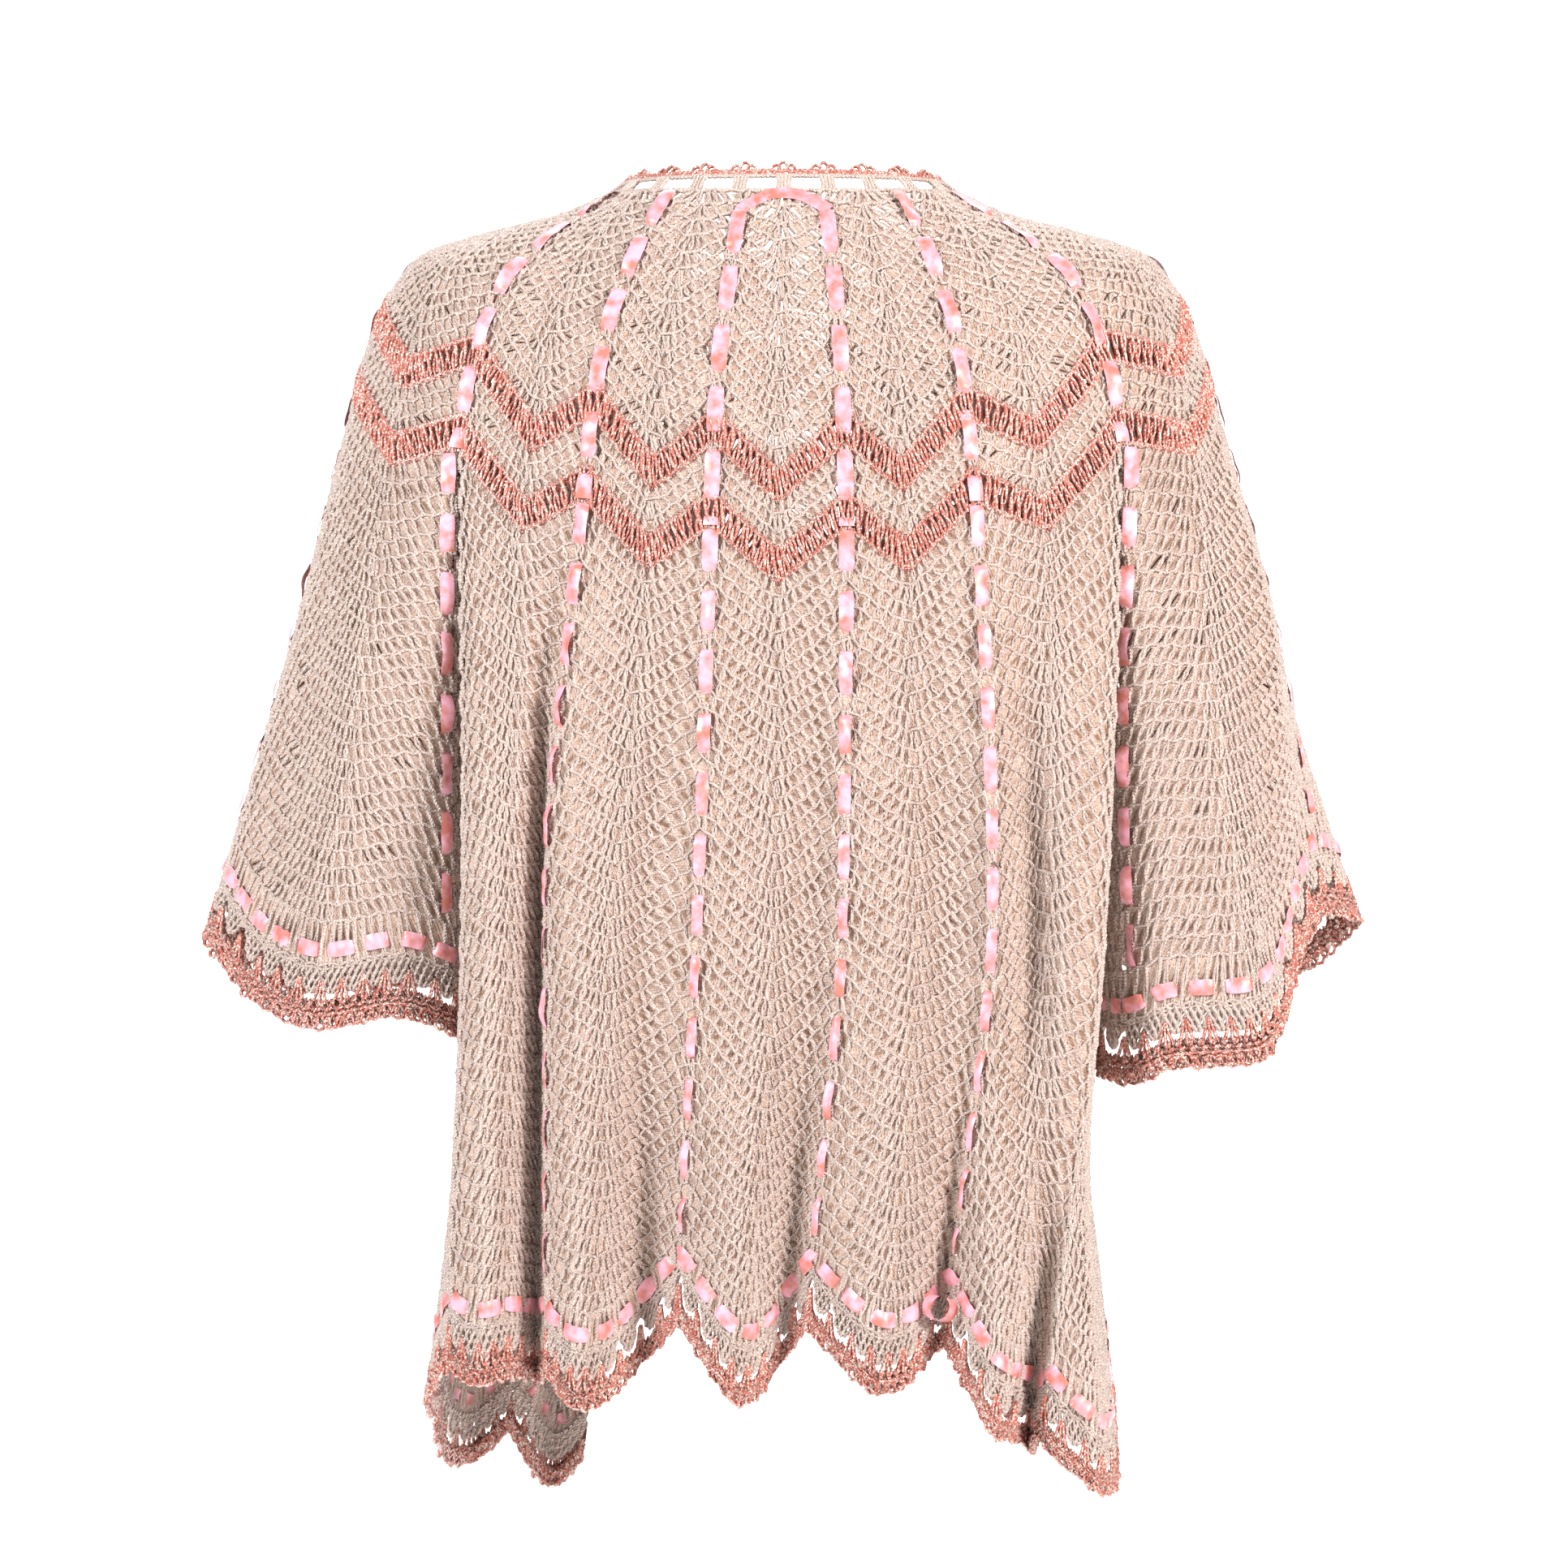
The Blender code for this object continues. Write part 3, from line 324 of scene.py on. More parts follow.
@functools.lru_cache(maxsize=None)
def yoke_ring(reach):
    """Half a ring of the yoke, from the centre back round to the centre front."""
    size = {name: float(YOKE.at(name, reach)) for name in YOKE_NAMES[1:]}
    turn = np.linspace(0, math.pi, 241)
    back = turn <= math.pi / 2
    across = np.sin(turn)
    along = np.abs(np.cos(turn))
    x = size["half_width"] * across
    y = np.where(back, size["back_y"], size["front_y"]) * along
    z = np.where(back, size["back_z"], size["front_z"]) * along**2 + size["side_z"] * across**2
    points = np.stack([x, y, z], axis=1)
    steps = np.linalg.norm(np.diff(points, axis=0), axis=1)
    length = np.concatenate([[0.0], np.cumsum(steps)])
    front = ~back
    edge = np.interp(-size["front_x"], -x[front], length[front])
    return points, length, edge, size["gore"]


def gore_length(line, edge, gore):
    """Length along a ring from the centre back to a line."""
    if line <= BACK_LINE:
        return line * gore
    rest = edge - BACK_LINE * gore
    past = line - BACK_LINE
    whole = int(min(past, len(GORE_SHARES) - 1))
    share = sum(GORE_SHARES[:whole]) + GORE_SHARES[whole] * (past - whole)
    return BACK_LINE * gore + rest * share / sum(GORE_SHARES)


def on_yoke(line, reach):
    """A point of the yoke's outer face."""
    points, length, edge, gore = yoke_ring(round(float(reach), 6))
    along = math.copysign(gore_length(abs(line), edge, gore), line)
    along += LINE_DRIFT.at("aside", line) * min(1.0, max(0.0, reach) / UPPER_SILK[0])
    side = 1 if along >= 0 else -1
    found = [np.interp(abs(along), length, points[:, k]) for k in range(3)]
    return np.array([side * found[0], found[1], found[2]])


def yoke_point(line, reach):
    """A point of a row of the yoke, with its zigzag."""
    return on_yoke(line, reach + zigzag(line, reach))


def yoke_line(line):
    """The yoke's line that a line of the body hangs from, past the side the next front one."""
    return math.copysign(abs(line) + (FRONT_LINE - BODY_EDGE), line)


def armpit(side, share, above=0.0):
    """The underarm curve, from the back line (0) to the front line (1)."""
    back = yoke_point(side * BACK_LINE, SPLIT - above)
    front = yoke_point(side * SLEEVE_LINE, SPLIT - above)
    point = back + (front - back) * share
    bow = math.sin(math.pi * share)
    point[0] -= side * ARMPIT_IN * bow
    point[2] -= ARMPIT_DROP * bow
    return point


def body_top(line, above=0.0):
    """The upper edge of the body, or the cloth that distance above it."""
    side = math.copysign(1, line)
    if abs(line) <= BACK_LINE:
        return yoke_point(line, SPLIT - above)
    if abs(line) >= BODY_SIDE:
        return yoke_point(yoke_line(line), SPLIT - above)
    share = (abs(line) - BACK_LINE) / (BODY_SIDE - BACK_LINE)
    point = armpit(side, share, above)
    point[0] -= side * ARMPIT_GAP * math.sin(math.pi * share)
    return point


def lobe(line, rounding=0.3):
    """The hem's zigzag: rounded at the middle of a gore, sharp at a valley line."""
    aside = math.hypot(line - round(line), rounding) - rounding
    return 1 - 2 * aside / (math.hypot(0.5, rounding) - rounding)


def hung(*points):
    """The four points that a lengthwise line hangs through, and its slopes."""
    points = np.array(points)
    return points, [slopes(LEVELS, points[:, k]) for k in range(3)]


def on_line(line, level):
    """A point of a lengthwise line: level 0 is its upper end and 1 its lower one."""
    points, slope = line
    return np.array([through(LEVELS, points[:, k], level, slope[k]) for k in range(3)])


@functools.lru_cache(maxsize=None)
def body_column(line):
    """A lengthwise line of the body."""
    above = body_top(line, ABOVE)
    top = body_top(line)
    bottom = HEM.at("height", line) - HEM_ZIGZAG * lobe(line) - BEAD_DROP
    half = [BODY.at("half_x", line), BODY.at("half_y", line), (top[2] + bottom) / 2]
    hem = [BODY.at("hem_x", line), BODY.at("hem_y", line), bottom]
    return hung(above, top, half, hem)


def body_point(line, level):
    """A point of the body's outer face."""
    return on_line(body_column(round(float(line), 6)), level)


def sleeve_top(side, place, above=0.0):
    """The upper edge of a sleeve; its two corners at the body keep a little lower and clear."""
    if place <= 2:
        corner = min(place, 2 - place) < 0.001
        inside = min(2 - CORNER_IN, max(CORNER_IN, place))
        return yoke_point(side * (BACK_LINE + inside), SPLIT - above + corner * CORNER_DROP)
    point = armpit(side, 3 - place, above)
    point[0] += side * ARMPIT_GAP * (0.3 + math.sin(math.pi * (3 - place)))
    return point


@functools.lru_cache(maxsize=None)
def sleeve_column(side, place):
    """A lengthwise line of a sleeve."""
    table = SLEEVES[side]
    above = sleeve_top(side, place, ABOVE)
    top = sleeve_top(side, place)
    bottom = table.at("cuff_z", place) - BEAD_DROP
    half = [side * table.at("half_x", place), table.at("half_y", place), (top[2] + bottom) / 2]
    cuff = [side * table.at("cuff_x", place), table.at("cuff_y", place), bottom]
    return hung(above, top, half, cuff)


def sleeve_point(side, place, level):
    """A point of a sleeve's outer face."""
    return on_line(sleeve_column(side, round(float(place) % 3.0, 6) % 3.0), level)


# Crochet rows by their distance from the neck, and how many rows body and sleeves have
YOKE_EDGES = tuple(np.linspace(EYELET_DEPTH, UPPER_SILK[0], 17))
MIDDLE_EDGES = tuple(np.linspace(UPPER_SILK[1], LOWER_SILK[0], 4))
BODY_ROW_COUNT = 40
SLEEVE_ROW_COUNT = 26
BODY_BEAD = 0.046
SLEEVE_BEAD = 0.085

# How deep the closed cloth and the posts lie under the wall's outer face
CLOTH_DEPTH = 0.0011
STITCH_DEPTH = 0.0009
SILK_DEPTH = 0.0002

# A post's head lies nearer to the middle of the gore than its foot: by LEAN, less near both ends
# of a slope. No stitch is quite even: its places stray by a share of its width.
LEAN = 0.0062
LEAN_GROWS = 0.35
LEAN_ENDS = 0.3
STRAY = 0.13
FOOT_STRAY = 0.6
FEWEST_STITCHES = 3
# How far below a line its way down is read
DOWN_STEP = 0.002

# Wool posts and ridges: spread and radius as shares of the strand's radius, the turn of a post's
# two strands in radians, and the heights of bulge and wave
POST_SPREAD = 0.72
POST_TURN = 4.4
POST_BULGE = 0.0005
RIDGE_RADIUS = 1.1
RIDGE_WAVE = 0.0009
RIDGE_DEPTH = 0.0004
# Silk posts and chains in the same way, and how much of the silk rows' cloth is closed
SILK_POST_RADIUS = 1.1
SILK_SPREAD = 0.0013
SILK_TURN = 4.0
CHAIN_WAVE = 0.0013
CHAIN_LIFT = 0.0005
SILK_SHARE = 0.8
SILK_BAND = 0.004


class Cloth:
    """A surface sampled on an even grid, read between its samples."""

    def __init__(self, point, lines, levels, side=1):
        self.lines = np.asarray(lines)
        self.levels = np.asarray(levels)
        self.grid = np.array([[point(u, v) for u in self.lines] for v in self.levels])
        along = np.gradient(self.grid, axis=1)
        down = np.gradient(self.grid, axis=0)
        out = np.cross(along, down) * side
        self.out = out / np.linalg.norm(out, axis=2, keepdims=True)

    def at(self, u, v):
        """Points and outward directions at arrays of places."""
        u, v = np.broadcast_arrays(np.asarray(u, float), np.asarray(v, float))
        a = (u - self.lines[0]) / (self.lines[1] - self.lines[0])
        b = (v - self.levels[0]) / (self.levels[1] - self.levels[0])
        i = np.clip(a.astype(int), 0, len(self.lines) - 2)
        j = np.clip(b.astype(int), 0, len(self.levels) - 2)
        a = (a - i)[..., None]
        b = (b - j)[..., None]
        found = []
        for grid in (self.grid, self.out):
            top = grid[j, i] * (1 - a) + grid[j, i + 1] * a
            low = grid[j + 1, i] * (1 - a) + grid[j + 1, i + 1] * a
            found.append(top * (1 - b) + low * b)
        found[1] /= np.linalg.norm(found[1], axis=-1, keepdims=True)
        return found

    def under(self, u, v, depth):
        """Points that lie that depth under the outer face."""
        point, out = self.at(u, v)
        return point - out * depth


def even(first, last, step):
    """Places an even step apart, with both ends."""
    return np.linspace(first, last, round((last - first) / step) + 1)


@functools.lru_cache(maxsize=None)
def yoke_cloth():
    """The yoke's outer face, by line and distance from the neck."""
    return Cloth(yoke_point, even(-FRONT_LINE, FRONT_LINE, 1 / 16), even(-0.015, 0.2325, 0.0025))


@functools.lru_cache(maxsize=None)
def body_cloth():
    """The body's outer face, by line and level."""
    return Cloth(body_point, even(-BODY_EDGE, BODY_EDGE, 1 / 16), even(-0.02, 1.1, 0.01))


@functools.lru_cache(maxsize=None)
def sleeve_cloth(side):
    """A sleeve's outer face, by place round it and level."""
    point = functools.partial(sleeve_point, side)
    return Cloth(point, even(-0.25, 3.25, 1 / 24), even(-0.02, 1.2, 0.01), side)


class Yarn:
    """Gathers tubes and flat faces into one mesh with a lengthwise texture map."""

    def __init__(self):
        self.points = []
        self.faces = []
        self.maps = []
        self.count = 0

    def add(self, points, faces, maps):
        """Takes in points, four-sided faces among them and a map place for each corner."""
        self.points.append(points.reshape(-1, 3))
        self.faces.append(faces.reshape(-1, 4))
        self.maps.append(maps.reshape(-1, 2))
        self.count += len(self.points[-1])

    def tubes(self, paths, out, radius, sides=3, closed=False):
        """Round strands along paths of shape (strands, points, 3)."""
        strands, steps = paths.shape[:2]
        if closed:
            ahead = np.roll(paths, -1, axis=1) - np.roll(paths, 1, axis=1)
        else:
            ahead = np.gradient(paths, axis=1)
        ahead /= np.linalg.norm(ahead, axis=2, keepdims=True) + 1e-12
        across = np.cross(ahead, np.broadcast_to(out, paths.shape))
        across /= np.linalg.norm(across, axis=2, keepdims=True) + 1e-12
        rise = np.cross(across, ahead)
        turn = np.arange(sides) / sides * 2 * math.pi + 0.5 * math.pi
        radius = np.broadcast_to(radius, (strands, steps))[..., None, None]
        ring = across[:, :, None] * np.cos(turn)[:, None] + rise[:, :, None] * np.sin(turn)[:, None]
        points = paths[:, :, None] + ring * radius
        length = np.linalg.norm(np.diff(paths, axis=1), axis=2)
        length = np.concatenate([np.zeros((strands, 1)), np.cumsum(length, axis=1)], axis=1)
        index = np.arange(strands * steps * sides).reshape(strands, steps, sides) + self.count
        if closed:
            index = np.concatenate([index, index[:, :1]], axis=1)
            length = np.concatenate([length, length[:, -1:] + 0.001], axis=1)
        turned = np.roll(index, -1, axis=2)
        faces = np.stack([index[:, :-1], turned[:, :-1], turned[:, 1:], index[:, 1:]], axis=-1)
        start = np.broadcast_to(length[:, :-1, None], faces.shape[:3])
        end = np.broadcast_to(length[:, 1:, None], faces.shape[:3])
        left = np.broadcast_to(np.arange(sides) / sides, faces.shape[:3])
        right = left + 1 / sides
        corners = [(left, start), (right, start), (right, end), (left, end)]
        self.add(points, faces, np.stack([np.stack(corner, axis=-1) for corner in corners], axis=-2))

    def quads(self, corners, height=0.01):
        """Separate faces of shape (faces, 4, 3), each with the map from 0 to 1 by height."""
        index = np.arange(len(corners) * 4).reshape(-1, 4) + self.count
        face = np.array([[0.0, 0.0], [1.0, 0.0], [1.0, height], [0.0, height]])
        self.add(corners, index, np.tile(face, (len(corners), 1)))

    def grid(self, points, maps):
        """A strip of cloth through rows of points of shape (rows, columns, 3)."""
        rows, columns = points.shape[:2]
        index = np.arange(rows * columns).reshape(rows, columns) + self.count
        faces = np.stack([index[:-1, :-1], index[:-1, 1:], index[1:, 1:], index[1:, :-1]], axis=-1)
        corners = (maps[:-1, :-1], maps[:-1, 1:], maps[1:, 1:], maps[1:, :-1])
        self.add(points, faces, np.stack(corners, axis=-2))

    def build(self, name, finish, slot, nodes):
        """The finished piece, which takes the place of the named solids."""
        points = np.concatenate(self.points)
        faces = np.concatenate(self.faces)
        maps = np.concatenate(self.maps)
        mesh = bpy.data.meshes.new(name)
        mesh.vertices.add(len(points))
        mesh.vertices.foreach_set("co", points.ravel())
        mesh.loops.add(faces.size)
        mesh.loops.foreach_set("vertex_index", faces.ravel())
        mesh.polygons.add(len(faces))
        mesh.polygons.foreach_set("loop_start", np.arange(len(faces)) * 4)
        mesh.update(calc_edges=True)
        mesh.polygons.foreach_set("use_smooth", np.ones(len(faces), bool))
        mesh.uv_layers.new(name="Strand").data.foreach_set("uv", maps.ravel())
        mesh.validate()
        made = bpy.data.objects.new(name, mesh)
        made.data.materials.append(finish)
        bpy.context.scene.collection.objects.link(made)
        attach(made, "root")
        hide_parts(*nodes)
        return made


def flanks(first, last, offset=0.0):
    """(gore centre, valley) of each slope of the zigzag between two lines."""
    found = []
    for gore in range(round(first + 0.5 - offset), round(last - 0.5 - offset) + 1):
        centre = gore + offset
        found += [(centre, centre - 0.5), (centre, centre + 0.5)]
    return found


def midway(places, sizes):
    """Lines halfway between neighbouring places, and half a size past the two ends."""
    between = places[:-1] + np.diff(places) / 2
    return np.concatenate([[places[0] - sizes[0] / 2], between, [places[-1] + sizes[-1] / 2]])


def alternating(count):
    """1 and -1 in turn, as a column."""
    return np.where(np.arange(count) % 2 == 0, 1.0, -1.0)[:, None]


class Stitches:
    """Places of the stitches of one crochet row: their heads and their feet.

    start is where in its own width a slope's first stitch stands."""

    def __init__(self, cloth, upper, lower, slopes_of_row, pitch, rng, start=0.5):
        heads = []
        feet = []
        widths = []
        gaps = []
        for centre, valley in slopes_of_row:
            across = valley - centre
            line, _ = cloth.at(centre + across * np.linspace(0, 1, 6), (upper + lower) / 2)
            length = float(np.linalg.norm(np.diff(line, axis=0), axis=1).sum())
            count = max(FEWEST_STITCHES, round(length / pitch))
            foot = (np.arange(count) + start) / count
            grown = np.minimum(1, foot / LEAN_GROWS) * np.minimum(1, (1 - foot) / LEAN_ENDS)
            head = np.maximum(0.02, foot - LEAN / length * grown)
            stray = rng.normal(0, STRAY / count, (2, count))
            gaps.append(np.abs(np.gradient(head) * across))
            heads.append(centre + across * (head + stray[0]))
            feet.append(centre + across * (foot + stray[1] * FOOT_STRAY))
            widths.append(np.full(count, abs(across) / count))
        order = np.argsort(np.concatenate(feet))
        self.heads = np.concatenate(heads)[order]
        self.feet = np.concatenate(feet)[order]
        self.widths = np.concatenate(widths)[order]
        self.gaps = np.concatenate(gaps)[order]
        self.upper = upper
        self.lower = lower
        self.cloth = cloth

    def along(self, places, line):
        """Points of a line across the row, their outward directions, and the way down."""
        point, out = self.cloth.at(places, line)
        down = self.cloth.at(places, line + DOWN_STEP)[0] - point
        return point, out, down / np.linalg.norm(down, axis=1, keepdims=True)

    def posts(self, yarn, rng, radius, spread, turned, depth, steps):
        """Two strands to a stitch, twisted round one another."""
        count = len(self.feet)
        s = np.linspace(0, 1, steps)
        u = self.heads[:, None] * (1 - s) + self.feet[:, None] * s
        v = self.upper + (self.lower - self.upper) * (s * 1.08 - 0.04)
        point, out = self.cloth.at(u, v)
        across = np.cross(np.gradient(point, axis=1), out)
        across /= np.linalg.norm(across, axis=2, keepdims=True) + 1e-12
        start = rng.uniform(0, 2 * math.pi, (count, 1))
        size = radius * rng.uniform(0.8, 1.25, (count, 1))
        bulge = np.sin(math.pi * s)[:, None] * POST_BULGE
        for strand in (0, math.pi):
            turn = start + strand + s * turned
            side = np.cos(turn)[..., None] * spread
            rise = np.sin(turn)[..., None] * spread * 0.7 - depth
            yarn.tubes(point + across * side + out * (rise + bulge), out, size)

    def chain(self, yarn, radius, line):
        """The braided edge of a silk row, of two strands that cross."""
        following = np.append(self.feet[1:], self.feet[-1] + self.widths[-1])
        u = np.stack([self.feet, (self.feet + following) / 2], axis=1).ravel()
        point, out, down = self.along(u, line)
        for sign in (1, -1):
            way = alternating(len(u)) * sign
            path = point + down * (way * CHAIN_WAVE) - out * (SILK_DEPTH + way * CHAIN_LIFT)
            yarn.tubes(path[None], out[None], radius)

    def ridge(self, yarn, radius, line):
        """One uneven strand along the heads or the feet."""
        point, out, down = self.along(self.feet, line)
        path = point + down * alternating(len(point)) * RIDGE_WAVE - out * RIDGE_DEPTH
        yarn.tubes(path[None], out[None], radius)

    def webs(self, yarn, rng, share, band, openness=1.0):
        """The closed cloth behind the stitches, with some of the slots between them open.

        share is how much of an open stitch's width is closed, band how much at its two ends."""
        part = np.where(rng.uniform(0, 1, len(self.feet)) < openness, share, 1.0)
        head_edges = midway(self.heads, self.gaps)
        foot_edges = midway(self.feet, self.widths)
        fall = self.cloth.at(self.feet, self.lower)[0] - self.cloth.at(self.feet, self.upper)[0]
        cut = band / np.linalg.norm(fall, axis=1) * (self.lower - self.upper)
        top = self.upper + cut
        low = self.lower - cut
        corners = [
            self.cloth.under(middle + (edges - middle) * part, level, CLOTH_DEPTH)
            for middle, edges, level in (
                (self.heads, head_edges[:-1], top),
                (self.heads, head_edges[1:], top),
                (self.feet, foot_edges[1:], low),
                (self.feet, foot_edges[:-1], low),
            )
        ]
        yarn.quads(np.stack(corners, axis=1), height=1.0)
        for edges, high_line, low_line in (
            (head_edges, self.upper, np.append(top, top[-1])),
            (foot_edges, np.append(low, low[-1]), self.lower),
        ):
            a = self.cloth.under(edges, high_line, CLOTH_DEPTH)
            b = self.cloth.under(edges, low_line, CLOTH_DEPTH)
            yarn.quads(np.stack([a[:-1], a[1:], b[1:], b[:-1]], axis=1))


def worked(cloth, edges, slopes_of_row, size, seed, openness):
    """A run of cream rows, each set off by half a stitch: (closed cloth, strands)."""
    webs = Yarn()
    strands = Yarn()
    rng = np.random.default_rng(seed)
    radius = size.yarn_radius
    for number, (upper, lower) in enumerate(zip(edges[:-1], edges[1:])):
        start = 0.25 if number % 2 else 0.75
        row = Stitches(cloth, upper, lower, slopes_of_row, size.pitch, rng, start)
        row.webs(webs, rng, size.web_share, size.web_band, openness)
        row.posts(strands, rng, radius, radius * POST_SPREAD, POST_TURN, STITCH_DEPTH, 3)
        row.ridge(strands, radius * RIDGE_RADIUS, lower)
        if number == 0:
            row.ridge(strands, radius * RIDGE_RADIUS, upper)
    return webs, strands


class Edge:
    """An edge of the cloth: places along it, and distances straight away from it."""

    def __init__(self, samples, point, away, out):
        self.samples = samples
        self.values = (point, away / np.linalg.norm(away, axis=1, keepdims=True), out)

    def at(self, where, distance):
        """Points and outward directions at arrays of places and distances."""
        where, distance = np.broadcast_arrays(where, distance)
        point, away, out = (
            np.stack([np.interp(where, self.samples, v[:, k]) for k in range(3)], axis=-1)
            for v in self.values
        )
        return point + away * distance[..., None], out


def lower_edge(cloth, places, bead, step):
    """The lower edge of the body or a sleeve, its places in repeats of the edging."""
    point, out = cloth.at(places, 1.0)
    above, _ = cloth.at(places, 1 - bead)
    return Edge(np.arange(len(places)) * step, point, point - above, out)


def length_along(point):
    """Length from the first point of a path to each of its points."""
    return np.concatenate([[0], np.cumsum(np.linalg.norm(np.diff(point, axis=0), axis=1))])


def front_edge(side):
    """The front edge from the neck to the hem, its places by length."""
    parts = []
    for cloth, line, levels in (
        (yoke_cloth(), FRONT_LINE, np.linspace(0, SPLIT, 60)),
        (body_cloth(), BODY_EDGE, np.linspace(0, 1, 120)[1:]),
    ):
        point, out = cloth.at(side * line, levels)
        beside, _ = cloth.at(side * (line - 0.1), levels)
        parts.append((point, out, point - beside))
    point, out, away = (np.concatenate(part) for part in zip(*parts))
    away -= out * (away * out).sum(axis=1, keepdims=True)
    return Edge(length_along(point), point, away, out)


# Edging of hem and cuffs, by share of a cluster's length: half its width, and its swell
CLUSTER_SHARES = (0, 0.2, 0.45, 0.7, 0.9, 1)
CLUSTER_HALF = (0.0062, 0.0064, 0.0062, 0.0057, 0.0044, 0.0022)
CLUSTER_SWELL = (0, 0.0004, 0.0008, 0.0010, 0.0006, 0)
CLUSTER_STRANDS = (-1.0, -0.66, -0.33, 0.0, 0.33, 0.66, 1.0)
CLUSTER_START = 0.0003
CLUSTER_LONGER = 0.0012
CLUSTER_ROUNDING = 0.0026
CLUSTER_WINDING = 3.5 * math.pi
CLUSTER_LEAN = 0.17
CLUSTER_LIFT = 0.0008
CLUSTER_DEPTH = 0.0011
CLUSTER_RADIUS = 0.0014
# The closed cloth behind the clusters: its depth as a share of theirs, and half its waves
BACKING_SHARE = 0.62
BACKING_WAVE = 0.28
BACKING_DEPTH = 0.0015
BRIDGE_DROP = 0.0022
BRIDGE_WAVE = 0.0006
BRIDGE_RADIUS = 0.001
# The silk: three legs from each notch, how far aside each ends and starts, then band and loops
LEGS = ((-0.0042, -0.0008), (0.0, 0.0), (0.0042, 0.0008))
LEG_STRAY = 0.0012
LEG_LIFT = 0.0002
LEG_RADIUS = 0.0013
BAND_ROWS = 4
BAND_WAVE = 0.0019
BAND_LIFT = 0.0013
BAND_DEPTH = 0.0006
BAND_RADIUS = 0.0015
LOOPS_ABOVE = 0.0045
LOOP_SPOTS = ((0.12, 0.0009), (0.37, 0.0018), (0.62, 0.00108), (0.87, 0.00162))
LOOP_HALF = (0.0024, 0.0036)
LOOP_TALL = (0.0030, 0.0044)
LOOP_TILT = 0.0022
LOOP_DEPTH = 0.0004
SILK_LOOP_RADIUS = 0.00135
SMALL_LOOP_DEPTH = 0.0011


def on_rim(where, count, ring):
    """Places kept on the rim: round again on a ring, or stopped at both ends."""
    return where % count if ring else np.clip(where, 0, count)


def clusters(yarn, rim, count, repeat, rng):
    """A fat cluster to each repeat, its strands winding beside one another."""
    s = np.linspace(0, 1, 10)
    half = np.interp(s, CLUSTER_SHARES, CLUSTER_HALF)
    swell = np.interp(s, CLUSTER_SHARES, CLUSTER_SWELL)
    for number, share in enumerate(CLUSTER_STRANDS):
        hand = 1 if number % 2 else -1
        lean = share + hand * CLUSTER_LEAN * np.sin(s * CLUSTER_WINDING)
        offset = lean * half * rng.uniform(0.92, 1.05, (count, 1)) / repeat[:, None]
        reach = SHELL_DEPTH + CLUSTER_LONGER - CLUSTER_ROUNDING * share**2
        point, out = rim.at(np.arange(count)[:, None] + 0.5 + offset, CLUSTER_START + s * reach)
        rise = swell * (1.2 - abs(share)) + hand * CLUSTER_LIFT * np.cos(s * CLUSTER_WINDING)
        yarn.tubes(point + out * (rise[:, None] - CLUSTER_DEPTH), out, CLUSTER_RADIUS)


def backing(yarn, rim, count):
    """The closed cloth behind the upper part of the clusters, and the strand across it."""
    along = np.linspace(0, count, count * 6 + 1)
    wave = BACKING_WAVE * np.cos((along - 0.5) * 2 * math.pi)
    rows = []
    for distance in (0.0, SHELL_DEPTH * (BACKING_SHARE + wave)):
        point, out = rim.at(along, distance)
        rows.append(point - out * BACKING_DEPTH)
    lengthwise = along * 0.015 + np.array([[0.0], [0.01]])
    yarn.grid(np.stack(rows), np.stack(np.broadcast_arrays(0.5, lengthwise), axis=-1))
    along = np.linspace(0, count, count * 4 + 1)
    point, out = rim.at(along, BRIDGE_DROP + BRIDGE_WAVE * np.cos(along * 2 * math.pi))
    yarn.tubes((point - out * BRIDGE_RADIUS)[None], out[None], BRIDGE_RADIUS, 4)


def legs(yarn, rim, count, repeat, ring, rng):
    """Three silk strands that fan out of each notch, down to the band."""
    notches = np.arange(count if ring else count + 1)
    near = repeat[np.clip(notches, 0, count - 1)][:, None]
    s = np.linspace(0, 1, 4)
    for foot, head in LEGS:
        where = notches[:, None] + (head + (foot - head) * s**1.3) / near
        top = LEG_TOP + rng.uniform(-LEG_STRAY, LEG_STRAY, (len(notches), 1))
        point, out = rim.at(on_rim(where, count, ring), top + (EDGING_TOP - top) * s)
        yarn.tubes(point + out * LEG_LIFT, out, LEG_RADIUS)


def silk_band(yarn, rim, count, last_row):
    """Rows of two silk strands that cross one another and rise and fall."""
    where = np.linspace(0, count, count * 8 + 1)
    number = np.arange(len(where))
    for row, distance in enumerate(np.linspace(EDGING_TOP, last_row, BAND_ROWS)):
        for sign in (1, -1):
            wave = np.cos(number * math.pi + row) * sign * BAND_WAVE
            lift = np.cos(number * math.pi * 0.5 + row * 1.7) * sign * BAND_LIFT
            point, out = rim.at(where, distance + wave)
            path = point + out * (lift[:, None] - BAND_DEPTH)
            yarn.tubes(path[None], out[None], BAND_RADIUS)


def silk_loops(yarn, rim, count, repeat, last_row, ring, rng):
    """Four uneven picot loops to each repeat, below the band."""
    turn = np.linspace(0, 2 * math.pi, 9)[:-1]
    for spot, drop in LOOP_SPOTS:
        where = np.arange(count) + spot + rng.uniform(-0.04, 0.04, count)
        middle = last_row + drop + rng.uniform(-0.001, 0.001, count)
        half = rng.uniform(*LOOP_HALF, count) / repeat
        tall = rng.uniform(*LOOP_TALL, count)
        where = on_rim(where[:, None] + np.cos(turn) * half[:, None], count, ring)
        point, out = rim.at(where, middle[:, None] + np.sin(turn) * tall[:, None])
        tilt = np.sin(turn) * rng.uniform(-LOOP_TILT, LOOP_TILT, (count, 1))
        path = point + out * (tilt[..., None] - LOOP_DEPTH)
        yarn.tubes(path, out, SILK_LOOP_RADIUS, closed=True)


